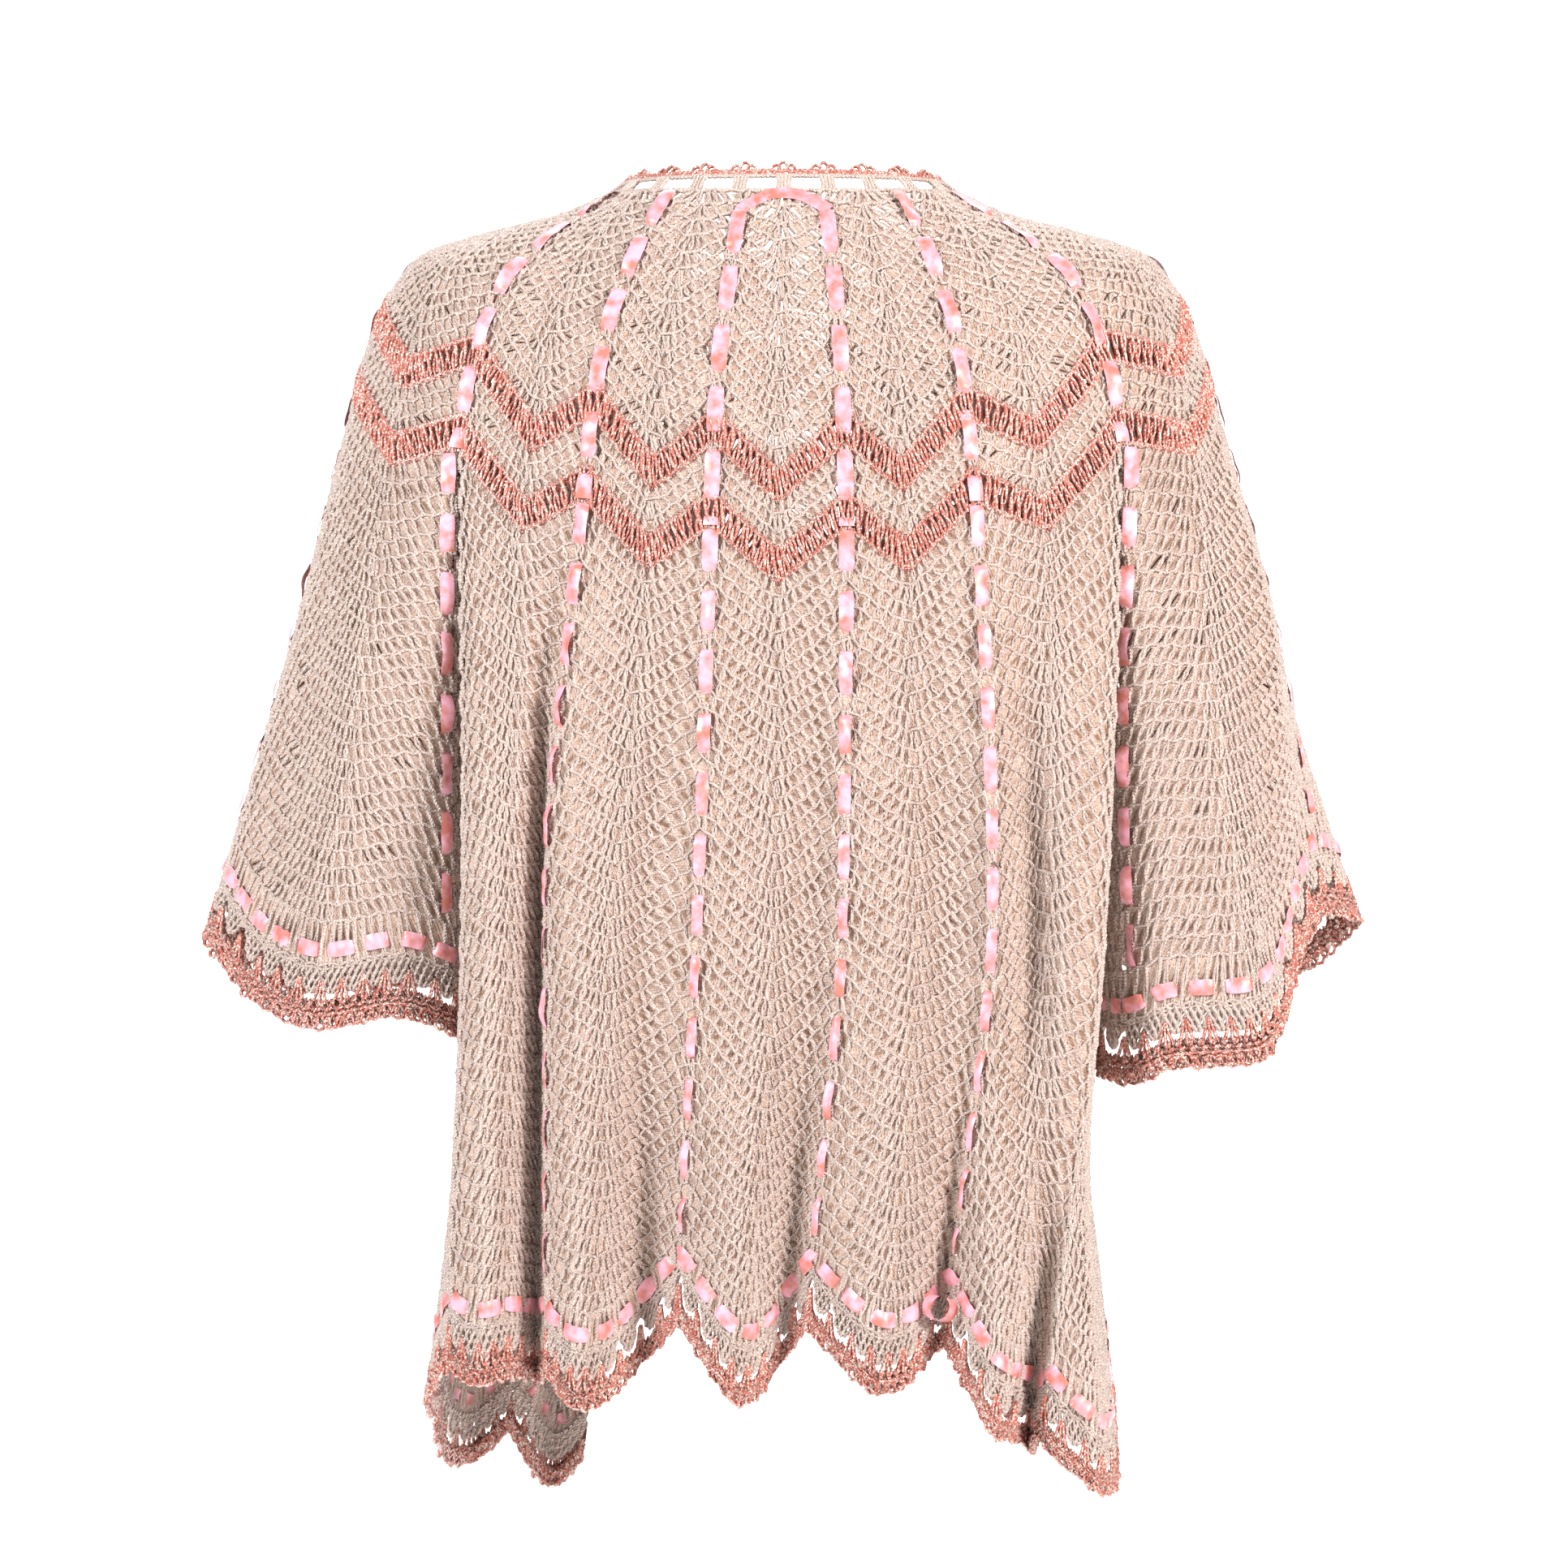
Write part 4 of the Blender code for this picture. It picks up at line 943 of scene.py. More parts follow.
def edging(rim, count, depth, ring, seed):
    """The edging along a rim, so many repeats of it: (cream clusters, silk)."""
    rng = np.random.default_rng(seed)
    notches, _ = rim.at(np.arange(count + 1), 0.0)
    repeat = np.linalg.norm(np.diff(notches, axis=0), axis=1)
    last_row = depth - LOOPS_ABOVE
    cream = Yarn()
    pink = Yarn()
    clusters(cream, rim, count, repeat, rng)
    backing(cream, rim, count)
    legs(pink, rim, count, repeat, ring, rng)
    silk_band(pink, rim, count, last_row)
    silk_loops(pink, rim, count, repeat, last_row, ring, rng)
    return cream, pink


def plait(yarn, at, run, distance, wave, depth, radius):
    """Two strands along a line that cross again and again."""
    way = np.cos(np.arange(len(run)) * math.pi)
    for sign in (1, -1):
        point, out = at(run, distance + way * sign * wave)
        yarn.tubes((point - out * depth)[None], out[None], radius)


def small_loops(yarn, at, middle, distance, half, tall, radius, corners):
    """Even closed loops along a line, one to each middle, by half their width and height."""
    turn = np.linspace(0, 2 * math.pi, corners + 1)[:-1]
    run = middle[:, None] + np.cos(turn) * half
    point, out = at(run, distance + np.sin(turn) * tall)
    yarn.tubes(point - out * SMALL_LOOP_DEPTH, out, radius, closed=True)


# A woven ribbon where it shows: its rise at its ends and more at its middle, its ripple, the
# share of its width that is left at its ends, and how deep it runs where it is hidden
RIBBON_RISE = 0.0004
RIBBON_ARCH = 0.0019
RIBBON_RIPPLE = 0.0004
RIBBON_NARROWEST = 0.72
RIBBON_HIDDEN_DEPTH = 0.0030
RIBBON_CROWN = 0.0006


class Weave:
    """Where a woven ribbon shows: its rise over the cloth, its width and its roll."""

    def __init__(self, period, hidden, rng, count=60):
        self.period = period
        self.seen = period - hidden
        self.roll = rng.uniform(-1, 1, count)
        self.slack = rng.uniform(0.6, 1.3, count)

    def at(self, length):
        """(rise, share of the width, roll) at lengths along the ribbon."""
        turn = length / self.period
        piece = np.floor(turn).astype(int) % len(self.roll)
        share = (turn - np.floor(turn)) * self.period
        shows = share < self.seen
        s = np.clip(share / self.seen, 0, 1)
        arch = np.sin(math.pi * s)
        rise = RIBBON_RISE + RIBBON_ARCH * arch**0.6 * self.slack[piece]
        rise = np.where(shows, rise, -RIBBON_HIDDEN_DEPTH)
        edge = np.minimum(1, np.abs(share - self.seen / 2) / (self.seen / 2))
        fullness = np.where(shows, np.sqrt(np.maximum(0, 1 - edge**4)), 0)
        width = RIBBON_NARROWEST + (1 - RIBBON_NARROWEST) * fullness
        ripple = np.sin(s * math.pi * 3 + piece) * RIBBON_RIPPLE
        return rise + ripple, width, self.roll[piece] * arch


def ribbon(yarn, point, out, weave, width, roll, narrow=1.0):
    """A ribbon along a path of points, over and under the cloth."""
    ahead = np.gradient(point, axis=0)
    ahead /= np.linalg.norm(ahead, axis=1, keepdims=True)
    across = np.cross(ahead, out)
    across /= np.linalg.norm(across, axis=1, keepdims=True)
    length = length_along(point)
    rise, share, turned = weave.at(length)
    angle = (turned * roll)[:, None]
    half = width / 2 * share * narrow
    side = across * np.cos(angle) + out * np.sin(angle)
    places = np.array([-1.0, -0.5, 0.0, 0.5, 1.0])
    rows = point[:, None] + out[:, None] * rise[:, None, None]
    rows = rows + side[:, None] * (half[:, None] * places)[..., None]
    rows = rows + out[:, None] * RIBBON_CROWN * (1 - places**2)[None, :, None]
    yarn.grid(rows, np.stack(np.broadcast_arrays(places * 0.5 + 0.5, length[:, None]), axis=-1))


def spaced(cloth, places, levels, step=0.0022):
    """Points evenly spaced down a line of the cloth."""
    point, _ = cloth.at(places, levels)
    length = length_along(point)
    even_length = np.linspace(0, length[-1], max(8, round(length[-1] / step)))
    levels = np.interp(even_length, length, levels)
    places = np.interp(even_length, length, np.broadcast_to(places, length.shape))
    return cloth.at(places, levels)


def linear(red, green, blue):
    """A colour as a paint chip gives it, from 0 to 255, for a shader."""
    return tuple(((c / 255 + 0.055) / 1.055) ** 2.4 for c in (red, green, blue))


class YarnSettings(bpy.types.PropertyGroup):
    """Sizes and colours of the wool and the silk."""

    pitch: bpy.props.FloatProperty(
        name="Stitch pitch", description="Distance between stitches", default=0.0058, unit="LENGTH"
    )
    yarn_radius: bpy.props.FloatProperty(
        name="Strand radius", description="Half the thickness of a strand", default=0.0013, unit="LENGTH"
    )
    silk_pitch: bpy.props.FloatProperty(
        name="Silk pitch", description="Distance between silk stitches", default=0.0046, unit="LENGTH"
    )
    silk_radius: bpy.props.FloatProperty(
        name="Silk radius", description="Half the thickness of a silk strand", default=0.0013, unit="LENGTH"
    )
    web_share: bpy.props.FloatProperty(
        name="Closed share", description="Share of a stitch that is closed", default=0.62, subtype="FACTOR"
    )
    web_band: bpy.props.FloatProperty(
        name="Closed band", description="Height closed along a chain", default=0.0015, unit="LENGTH"
    )
    wool: bpy.props.FloatVectorProperty(
        name="Wool",
        description="Colour of the wool",
        default=linear(243, 220, 210),
        size=3,
        subtype="COLOR",
    )
    silk: bpy.props.FloatVectorProperty(
        name="Silk",
        description="Colour of the silk",
        default=linear(232, 150, 138),
        size=3,
        subtype="COLOR",
    )


class RibbonSettings(bpy.types.PropertyGroup):
    """Sizes and colour of the satin ribbons."""

    width: bpy.props.FloatProperty(
        name="Width", description="Width of the ribbon", default=0.009, unit="LENGTH"
    )
    yoke_period: bpy.props.FloatProperty(
        name="Yoke weave", description="Length of one weave in the yoke", default=0.036, unit="LENGTH"
    )
    skirt_period: bpy.props.FloatProperty(
        name="Skirt weave", description="Length of one weave below the yoke", default=0.034, unit="LENGTH"
    )
    hem_period: bpy.props.FloatProperty(
        name="Hem weave", description="Length of one weave along the hem", default=0.021, unit="LENGTH"
    )
    satin: bpy.props.FloatVectorProperty(
        name="Satin",
        description="Colour of the ribbon",
        default=linear(247, 170, 178),
        size=3,
        subtype="COLOR",
    )


class StageSettings(bpy.types.PropertyGroup):
    """Strength of the stage's lights."""

    key: bpy.props.FloatProperty(name="Key light", description="Power of the key light", default=102.0)
    fill: bpy.props.FloatProperty(name="Fill light", description="Power of the fill light", default=116.0)
    sky: bpy.props.FloatProperty(name="Sky", description="Strength of the even light", default=0.27)


def fill(tree, node, inputs):
    """Sets inputs of a node to values, or links them to outputs."""
    for name, value in inputs.items():
        if isinstance(value, bpy.types.NodeSocket):
            tree.links.new(value, node.inputs[name])
        else:
            node.inputs[name].default_value = value


def placed(tree, kind, inputs, **settings):
    """A new node with its settings and its inputs."""
    node = tree.nodes.new("ShaderNode" + kind)
    for name, value in settings.items():
        setattr(node, name, value)
    fill(tree, node, inputs)
    return node


def maths(tree, operation, *values):
    """The result of one sum on numbers or outputs."""
    return placed(tree, "Math", dict(enumerate(values)), operation=operation).outputs[0]


def ramp(tree, value, low, high, start=0.0, end=1.0):
    """From start, where the value is low, evenly to end, where it is high."""
    inputs = {"Value": value, "From Min": low, "From Max": high, "To Min": start, "To Max": end}
    return placed(tree, "MapRange", inputs).outputs["Result"]


def noise(tree, where, scale, detail):
    """Soft uneven patches."""
    inputs = {"Vector": where, "Scale": scale, "Detail": detail}
    return placed(tree, "TexNoise", inputs).outputs["Fac"]


def mixed(tree, share, first, second):
    """Two colours mixed by a mask."""
    return placed(tree, "Mix", {0: share, 6: first, 7: second}, data_type="RGBA").outputs[2]


def strand_group():
    """Shared yarn effect: a strand's twist as a height, its uneven colour with painted glints, and its
    slots of painted shade as masks.
    """
    group = bpy.data.node_groups.get("twisted_strand")
    if group:
        return group
    group = bpy.data.node_groups.new("twisted_strand", "ShaderNodeTree")
    for name, value in (("Turns", 260.0), ("Patch scale", 140.0), ("Lumps and glints", 0.0)):
        socket = group.interface.new_socket(name=name, in_out="INPUT", socket_type="NodeSocketFloat")
        socket.default_value = value
    for name in ("Height", "Tone and painted highlights", "Painted slot shade"):
        group.interface.new_socket(name=name, in_out="OUTPUT", socket_type="NodeSocketFloat")
    given = group.nodes.new("NodeGroupInput").outputs
    result = group.nodes.new("NodeGroupOutput")
    strand = placed(group, "UVMap", {}, uv_map="Strand").outputs["UV"]
    parts = placed(group, "SeparateXYZ", {0: strand}).outputs
    where = placed(group, "TexCoord", {}).outputs["Object"]

    # The plies turn round the strand and along it, with some fuzz on them
    around = maths(group, "MULTIPLY", parts["X"], 3.0)
    turned = maths(group, "MULTIPLY_ADD", parts["Y"], given["Turns"], around)
    ply = maths(group, "SINE", maths(group, "MULTIPLY", turned, 2 * math.pi))
    twist = maths(group, "MULTIPLY_ADD", ply, 0.4, noise(group, where, 900.0, 2.0))

    # Fine round lumps, as deep as their strength says, with painted glints: their middles paler, mixed into
    # the colour by the same strength
    lumps_and_glints = placed(group, "TexVoronoi", {"Vector": where, "Scale": 760.0}).outputs["Distance"]
    lumps_and_glints = ramp(group, lumps_and_glints, 0.15, 0.62, start=1.0, end=0.0)
    height = maths(group, "MULTIPLY_ADD", lumps_and_glints, given["Lumps and glints"], twist)
    patches = noise(group, where, given["Patch scale"], 3.0)
    inputs = {"Factor": given["Lumps and glints"], "A": patches, "B": lumps_and_glints}
    patches = placed(group, "Mix", inputs).outputs["Result"]

    # Painted shade in slots at both sides of a closed stitch, away from its head and foot, where the work
    # is loose
    aside = maths(group, "ABSOLUTE", maths(group, "SUBTRACT", parts["X"], 0.5))
    at_side = ramp(group, aside, 0.26, 0.40)
    at_middle = ramp(group, maths(group, "PINGPONG", parts["Y"], 0.5), 0.02, 0.16)
    loose = ramp(group, noise(group, where, 85.0, 1.0), 0.38, 0.62)
    slot_shade = maths(group, "MULTIPLY", maths(group, "MULTIPLY", at_side, at_middle), loose)
    fill(group, result, {"Height": height, "Tone and painted highlights": patches, "Painted slot shade": slot_shade})
    return group


def fabric(
    name, dark, light, roughness, sheen, bump, turns, coat=0.0, patches=140.0, lumps_with_glints=0.0, slot=None
):
    """A yarn or ribbon: two shades in fine patches, partly its own uneven tone and partly painted
    highlights and shade, the twist of its strands, and painted shade in its slots.
    """
    made = bpy.data.materials.get(name)
    if made:
        return made
    made = bpy.data.materials.new(name)
    made.use_nodes = True
    tree = made.node_tree
    inputs = {"Turns": turns, "Patch scale": patches, "Lumps and glints": lumps_with_glints}
    strand = placed(tree, "Group", inputs, node_tree=strand_group()).outputs
    # Two shades in patches: partly the yarn's own uneven tone, partly painted highlights and painted shade
    spread = ramp(tree, strand["Tone and painted highlights"], 0.35, 0.65)
    shade = mixed(tree, spread, (*dark, 1), (*light, 1))
    # Painted shade in the slots between stitches
    if slot is not None:
        shade = mixed(tree, strand["Painted slot shade"], shade, (*slot, 1))
    inputs = {"Strength": bump, "Distance": 0.0007, "Height": strand["Height"]}
    raised = placed(tree, "Bump", inputs)
    surface = {
        "Base Color": shade,
        "Normal": raised.outputs["Normal"],
        "Roughness": roughness,
        "Sheen Weight": sheen,
        "Sheen Roughness": 0.5,
        "Coat Weight": coat,
        "Coat Roughness": 0.3,
    }
    fill(tree, tree.nodes["Principled BSDF"], surface)
    return made


def tinted(colour, shares):
    """A colour times one share, or a share for each of red, green and blue."""
    return tuple(min(1.0, c * float(s)) for c, s in zip(colour, np.broadcast_to(shares, 3)))


def wool(settings):
    """The cream wool of the strands, with painted glints in its paler patches and painted shade in its
    darker ones.
    """
    return fabric(
        "cream_wool_yarn",
        # Darker patches are partly painted shade, paler ones partly painted glints
        tinted(settings.wool, 0.80),
        tinted(settings.wool, 1.14),
        roughness=0.5,
        sheen=0.25,
        bump=1.0,
        turns=520.0,
        coat=0.1,
        patches=620.0,
        lumps_with_glints=0.6,
    )


def wool_shade(settings, pale_yoke_shade):
    """The fuzz between the stitches, darkened with painted shade and painted dark slots, both paler on the
    yoke.
    """
    name = "cream_wool_painted_shade"
    # Painted shade on the fuzz between the stitches
    shade = tinted(settings.wool, (0.88, 0.82, 0.76))
    # Colour of the painted shade in the slots between stitches
    slot = (0.36, 0.26, 0.19)
    if pale_yoke_shade:
        # Paler painted shade and slots on the yoke
        name = "cream_wool_paler_painted_shade"
        shade = tinted(shade, 1.1)
        slot = (0.62, 0.50, 0.42)
    return fabric(
        name,
        tinted(shade, 0.84),
        tinted(shade, 1.2),
        roughness=0.7,
        sheen=0.3,
        bump=1.0,
        turns=3.0,
        patches=500.0,
        lumps_with_glints=0.7,
        slot=tinted(settings.wool, slot),
    )


def silk(settings):
    """The glossy pink silk of the strands; its near-white patches are painted highlights and its dark ones
    painted shade.
    """
    return fabric(
        "pink_silk_yarn",
        # Dark patches: painted shade; pale near-white patches: painted highlights
        tinted(settings.silk, (0.74, 0.50, 0.42)),
        tinted(settings.silk, (1.3, 2.9, 3.1)),
        roughness=0.24,
        sheen=0.1,
        bump=0.8,
        turns=420.0,
        coat=0.8,
        patches=300.0,
        lumps_with_glints=0.4,
    )


def silk_shade(settings):
    """The silk cloth seen between its strands, darkened with painted shade."""
    # Painted shade on the silk between the strands
    shade = tinted(settings.silk, (0.58, 0.36, 0.30))
    return fabric(
        "pink_silk_painted_shade",
        tinted(shade, 0.8),
        tinted(shade, 1.3),
        roughness=0.5,
        sheen=0.1,
        bump=0.9,
        turns=420.0,
        coat=0.1,
        patches=330.0,
    )


def satin(settings):
    """The smooth satin of the ribbons, with painted highlights in its pale patches and painted fold shade
    in its dark ones.
    """
    return fabric(
        "pink_satin",
        # Dark patches: painted fold shade; pale patches: painted highlights
        tinted(settings.satin, (0.66, 0.48, 0.34)),
        tinted(settings.satin, (1.02, 1.22, 1.42)),
        roughness=0.34,
        sheen=0.1,
        bump=0.08,
        turns=900.0,
        coat=0.2,
        patches=120.0,
    )


SIDES = ((1, "left"), (-1, "right"))
YOKE_ENDS = (-FRONT_LINE, FRONT_LINE)
# Share of the slots between stitches that are open: on the yoke, on the back and elsewhere
YOKE_OPEN = 0.15
BACK_OPEN = 0.0
PANEL_OPEN = 0.04
SILK_ROWS = (("silk_row_upper", UPPER_SILK), ("silk_row_lower", LOWER_SILK))
# Samples of a rim to a repeat of its edging
RIM_STEPS = 4


class JacketOperator:
    """What the operators that make the pieces share."""

    bl_options = {"REGISTER", "UNDO"}

    def knit(
        self, context, name, cloth, edges, slopes_of_row, nodes, seed, flat, area, openness=PANEL_OPEN
    ):
        """One panel: the closed parts of its cloth and the strands on them."""
        size = context.scene.jacket_yarn
        webs, strands = worked(cloth, edges, slopes_of_row, size, seed, openness)
        finish = wool(size)
        # The closed cloth between the stitches gets painted shade and painted dark slots
        painted_shade_finish = wool_shade(size, pale_yoke_shade=name.startswith("yoke"))
        sheet = webs.build(name + "_cloth", painted_shade_finish, "cream_wool", nodes)
        stitches = strands.build(name + "_stitches", finish, "cream_wool", nodes)


class JACKET_OT_yoke(JacketOperator, bpy.types.Operator):
    """Works the cream rows of the yoke, above and between the silk rows"""

    bl_idname = "jacket.yoke"
    bl_label = "Yoke"

    def execute(self, context):
        for name, edges, seed, flat, area, openness in (
            ("yoke", YOKE_EDGES, 1, (0.93, 0.153), 0.125, YOKE_OPEN),
            ("yoke_middle", MIDDLE_EDGES, 2, (1.05, 0.028), 0.028, PANEL_OPEN),
        ):
            row = flanks(*YOKE_ENDS)
            self.knit(context, name, yoke_cloth(), edges, row, [name], seed, flat, area, openness)
        return {"FINISHED"}


class JACKET_OT_silk_rows(JacketOperator, bpy.types.Operator):
    """Works the two zigzag rows of pink silk"""

    bl_idname = "jacket.silk_rows"
    bl_label = "Silk rows"

    def execute(self, context):
        size = context.scene.jacket_yarn
        finish = silk(size)
        radius = size.silk_radius
        for number, (name, (upper, lower)) in enumerate(SILK_ROWS):
            rng = np.random.default_rng(20 + number)
            webs = Yarn()
            strands = Yarn()
            row = Stitches(yoke_cloth(), upper, lower, flanks(*YOKE_ENDS), size.silk_pitch, rng)
            row.webs(webs, rng, SILK_SHARE, SILK_BAND)
            row.posts(strands, rng, radius * SILK_POST_RADIUS, SILK_SPREAD, SILK_TURN, SILK_DEPTH, 5)
            for line in (upper, lower):
                row.chain(strands, radius, line)
            sheet = webs.build(name + "_cloth", silk_shade(size), "pink_silk", [name])
            stitches = strands.build(name + "_stitches", finish, "pink_silk", [name])
        return {"FINISHED"}


class JACKET_OT_body(JacketOperator, bpy.types.Operator):
    """Works the back, the underarm sides and the two fronts"""

    bl_idname = "jacket.body"
    bl_label = "Body"

    def execute(self, context):
        edges = np.append(np.linspace(0, 1 - BODY_BEAD, BODY_ROW_COUNT + 1), 1.0)
        left = ["gusset_left", "front_left"]
        right = ["gusset_right", "front_right"]
        for name, ends, nodes, seed, flat, area, openness in (
            ("back", (-BACK_LINE, BACK_LINE), ["back_panel"], 3, (0.50, 0.44), 0.19, BACK_OPEN),
            ("front_left", (BACK_LINE, BODY_EDGE), left, 4, (0.31, 0.46), 0.14, PANEL_OPEN),
            ("front_right", (-BODY_EDGE, -BACK_LINE), right, 5, (0.31, 0.46), 0.14, PANEL_OPEN),
        ):
            row = flanks(*ends)
            self.knit(context, name, body_cloth(), edges, row, nodes, seed, flat, area, openness)
        return {"FINISHED"}


class JACKET_OT_sleeves(JacketOperator, bpy.types.Operator):
    """Works the two bell sleeves"""

    bl_idname = "jacket.sleeves"
    bl_label = "Sleeves"

    def execute(self, context):
        edges = np.append(np.linspace(0, 1 - SLEEVE_BEAD, SLEEVE_ROW_COUNT + 1), 1.0)
        row = flanks(0, 3, offset=0.5)
        for side, name in SIDES:
            name = "sleeve_" + name
            self.knit(context, name, sleeve_cloth(side), edges, row, [name], 8 + side, (0.44, 0.28), 0.12)
        return {"FINISHED"}


class JACKET_OT_edgings(JacketOperator, bpy.types.Operator):
    """Works the clusters and the silk picot edging of the hem and the cuffs"""

    bl_idname = "jacket.edgings"
    bl_label = "Edgings"

    def execute(self, context):
        size = context.scene.jacket_yarn
        places = even(-BODY_EDGE, BODY_EDGE, 1 / (COLUMNS * RIM_STEPS))
        rim = lower_edge(body_cloth(), places, BODY_BEAD, 1 / RIM_STEPS)
        cream, pink = edging(rim, round(2 * BODY_EDGE * COLUMNS), HEM_EDGING, ring=False, seed=31)
        cream.build("hem_clusters", wool(size), "cream_wool", ["hem_shells"])
        pink.build("hem_edging", silk(size), "pink_silk", ["hem_picots"])
        wide = even(0, 2, 1 / (SLEEVE_COLUMNS * RIM_STEPS))
        under = even(2, 3, 1 / (UNDERARM_COLUMNS * RIM_STEPS))
        places = np.append(wide[:-1], under)
        for side, name in SIDES:
            rim = lower_edge(sleeve_cloth(side), places, SLEEVE_BEAD, 1 / RIM_STEPS)
            count = 2 * SLEEVE_COLUMNS + UNDERARM_COLUMNS
            cream, pink = edging(rim, count, CUFF_EDGING, ring=True, seed=33 + side)
            nodes = [f"cuff_shells_{name}_{half}" for half in ("inner", "outer")]
            cream.build(f"cuff_clusters_{name}", wool(size), "cream_wool", nodes)
            nodes = [f"cuff_picots_{name}_{half}" for half in ("inner", "outer")]
            pink.build(f"cuff_edging_{name}", silk(size), "pink_silk", nodes)
        return {"FINISHED"}


EYELETS = 22
# Strands of a post between two eyelets: how far aside, in halves of its width
NECK_POST_HALF = 0.0030
NECK_POST_STRANDS = (-1.1, -0.4, 0.4, 1.1)
NECK_POST_TOP = 0.0005
NECK_POST_LENGTH = 0.0115
NECK_POST_RADIUS = 0.0015
NECK_DEPTH = 0.0010
NECK_ROWS = (0.0007, 0.0117)
# Picot loops over the neck's edge: how far aside of a post, and half the height
NECK_LOOPS = ((-0.0046, 0.00315), (0.0, 0.00435), (0.0046, 0.00315))
NECK_LOOP_STRAY = 0.0006
NECK_SILK_ROWS = (-0.0012, -0.0032)


class JACKET_OT_neck(JacketOperator, bpy.types.Operator):
    """Works the row of eyelets round the neck and the picots on it"""

    bl_idname = "jacket.neck"
    bl_label = "Neck"

    def execute(self, context):
        size = context.scene.jacket_yarn
        cloth = yoke_cloth()
        lines = np.linspace(*YOKE_ENDS, 521)
        length = length_along(cloth.at(lines, 0.0)[0])
        end = length[-1]
        rng = np.random.default_rng(51)

        def at(run, reach):
            return cloth.at(np.interp(run, length, lines), reach)

        band = Yarn()
        posts = np.arange(EYELETS + 1) * (end / EYELETS)
        s = np.linspace(0, 1, 5)
        for offset in NECK_POST_STRANDS:
            run = posts[:, None] + NECK_POST_HALF * offset * (0.75 + 0.5 * np.abs(s - 0.5))
            run = np.clip(run, 0.0008, end - 0.0008)
            place, out = at(run, NECK_POST_TOP + s * NECK_POST_LENGTH)
            band.tubes(place - out * NECK_DEPTH, out, NECK_POST_RADIUS, 4)
        run = np.linspace(0, end, EYELETS * 8 + 1)
        for reach in NECK_ROWS:
            plait(band, at, run, reach, wave=0.0006, depth=NECK_DEPTH, radius=0.0012)
        band.build("neck_band", wool(size), "cream_wool", ["neck_eyelets"])
        loops = Yarn()
        for offset, tall in NECK_LOOPS:
            middle = posts + offset + rng.uniform(-NECK_LOOP_STRAY, NECK_LOOP_STRAY, len(posts))
            middle = np.clip(middle, 0.003, end - 0.003)
            small_loops(loops, at, middle, -0.0015 - tall, 0.0026, tall, 0.0012, corners=9)
        for reach in NECK_SILK_ROWS:
            plait(loops, at, run, reach, wave=0.0009, depth=0.0011, radius=0.0011)
        loops.build("neck_edging", silk(size), "pink_silk", ["neck_picots"])
        return {"FINISHED"}


# The front edgings: distances of their rows and loops from the cloth's edge
FRONT_REPEAT = 0.0075
FRONT_ROWS = (0.0012, 0.0034)
FRONT_LOOPS = 0.0052
FRONT_LOOP_HALF = 0.0024


class JACKET_OT_front_edgings(JacketOperator, bpy.types.Operator):
    """Works the narrow silk edging down both front edges"""

    bl_idname = "jacket.front_edgings"
    bl_label = "Front edgings"

    def execute(self, context):
        for side, name in SIDES:
            edge = front_edge(side)
            end = edge.samples[-1]
            count = round(end / FRONT_REPEAT)
            run = np.linspace(0, end, count * 4 + 1)
            middle = (np.arange(count) + 0.5) * end / count
            half = FRONT_LOOP_HALF
            yarn = Yarn()
            for distance in FRONT_ROWS:
                plait(yarn, edge.at, run, distance, wave=0.0009, depth=0.0012, radius=0.0010)
            small_loops(yarn, edge.at, middle, FRONT_LOOPS, half, half, 0.0009, corners=8)
            finish = silk(context.scene.jacket_yarn)
            yarn.build(f"front_edging_{name}", finish, "pink_silk", [f"front_picots_{name}"])
        return {"FINISHED"}


# Ribbons down the lines: how many a side, where they come out of the neck, and how much of
# each weave is hidden. The first two of a side lie looser and grow narrower.
RIBBON_LINES = 6
FIRST_START = 0.032
LINE_START = 0.0135
YOKE_HIDDEN = 0.009
SKIRT_HIDDEN = 0.011
HEM_HIDDEN = 0.0062
LOOSE_LINES = 2
# One ribbon stands further off the cloth than the others
STRAYING_LINE = -2.5
STRAYING_ROLL = 2.2
STRAYING_SLACK = 1.6

# The arch over the centre back: half its width in lines, and its reach at the middle and ends
ARCH_HALF = 0.52
ARCH_TOP = 0.0150
ARCH_FALL = 0.018
# The slack loop: its centre, its radius, the way its width runs, and its turn in degrees
LOOP_CENTRE = (-0.0895, 0.1108, -0.640)
LOOP_RADIUS = 0.0085
LOOP_ACROSS = (0.55, 0.80, 0.25)
LOOP_TURN = (-40, 250)


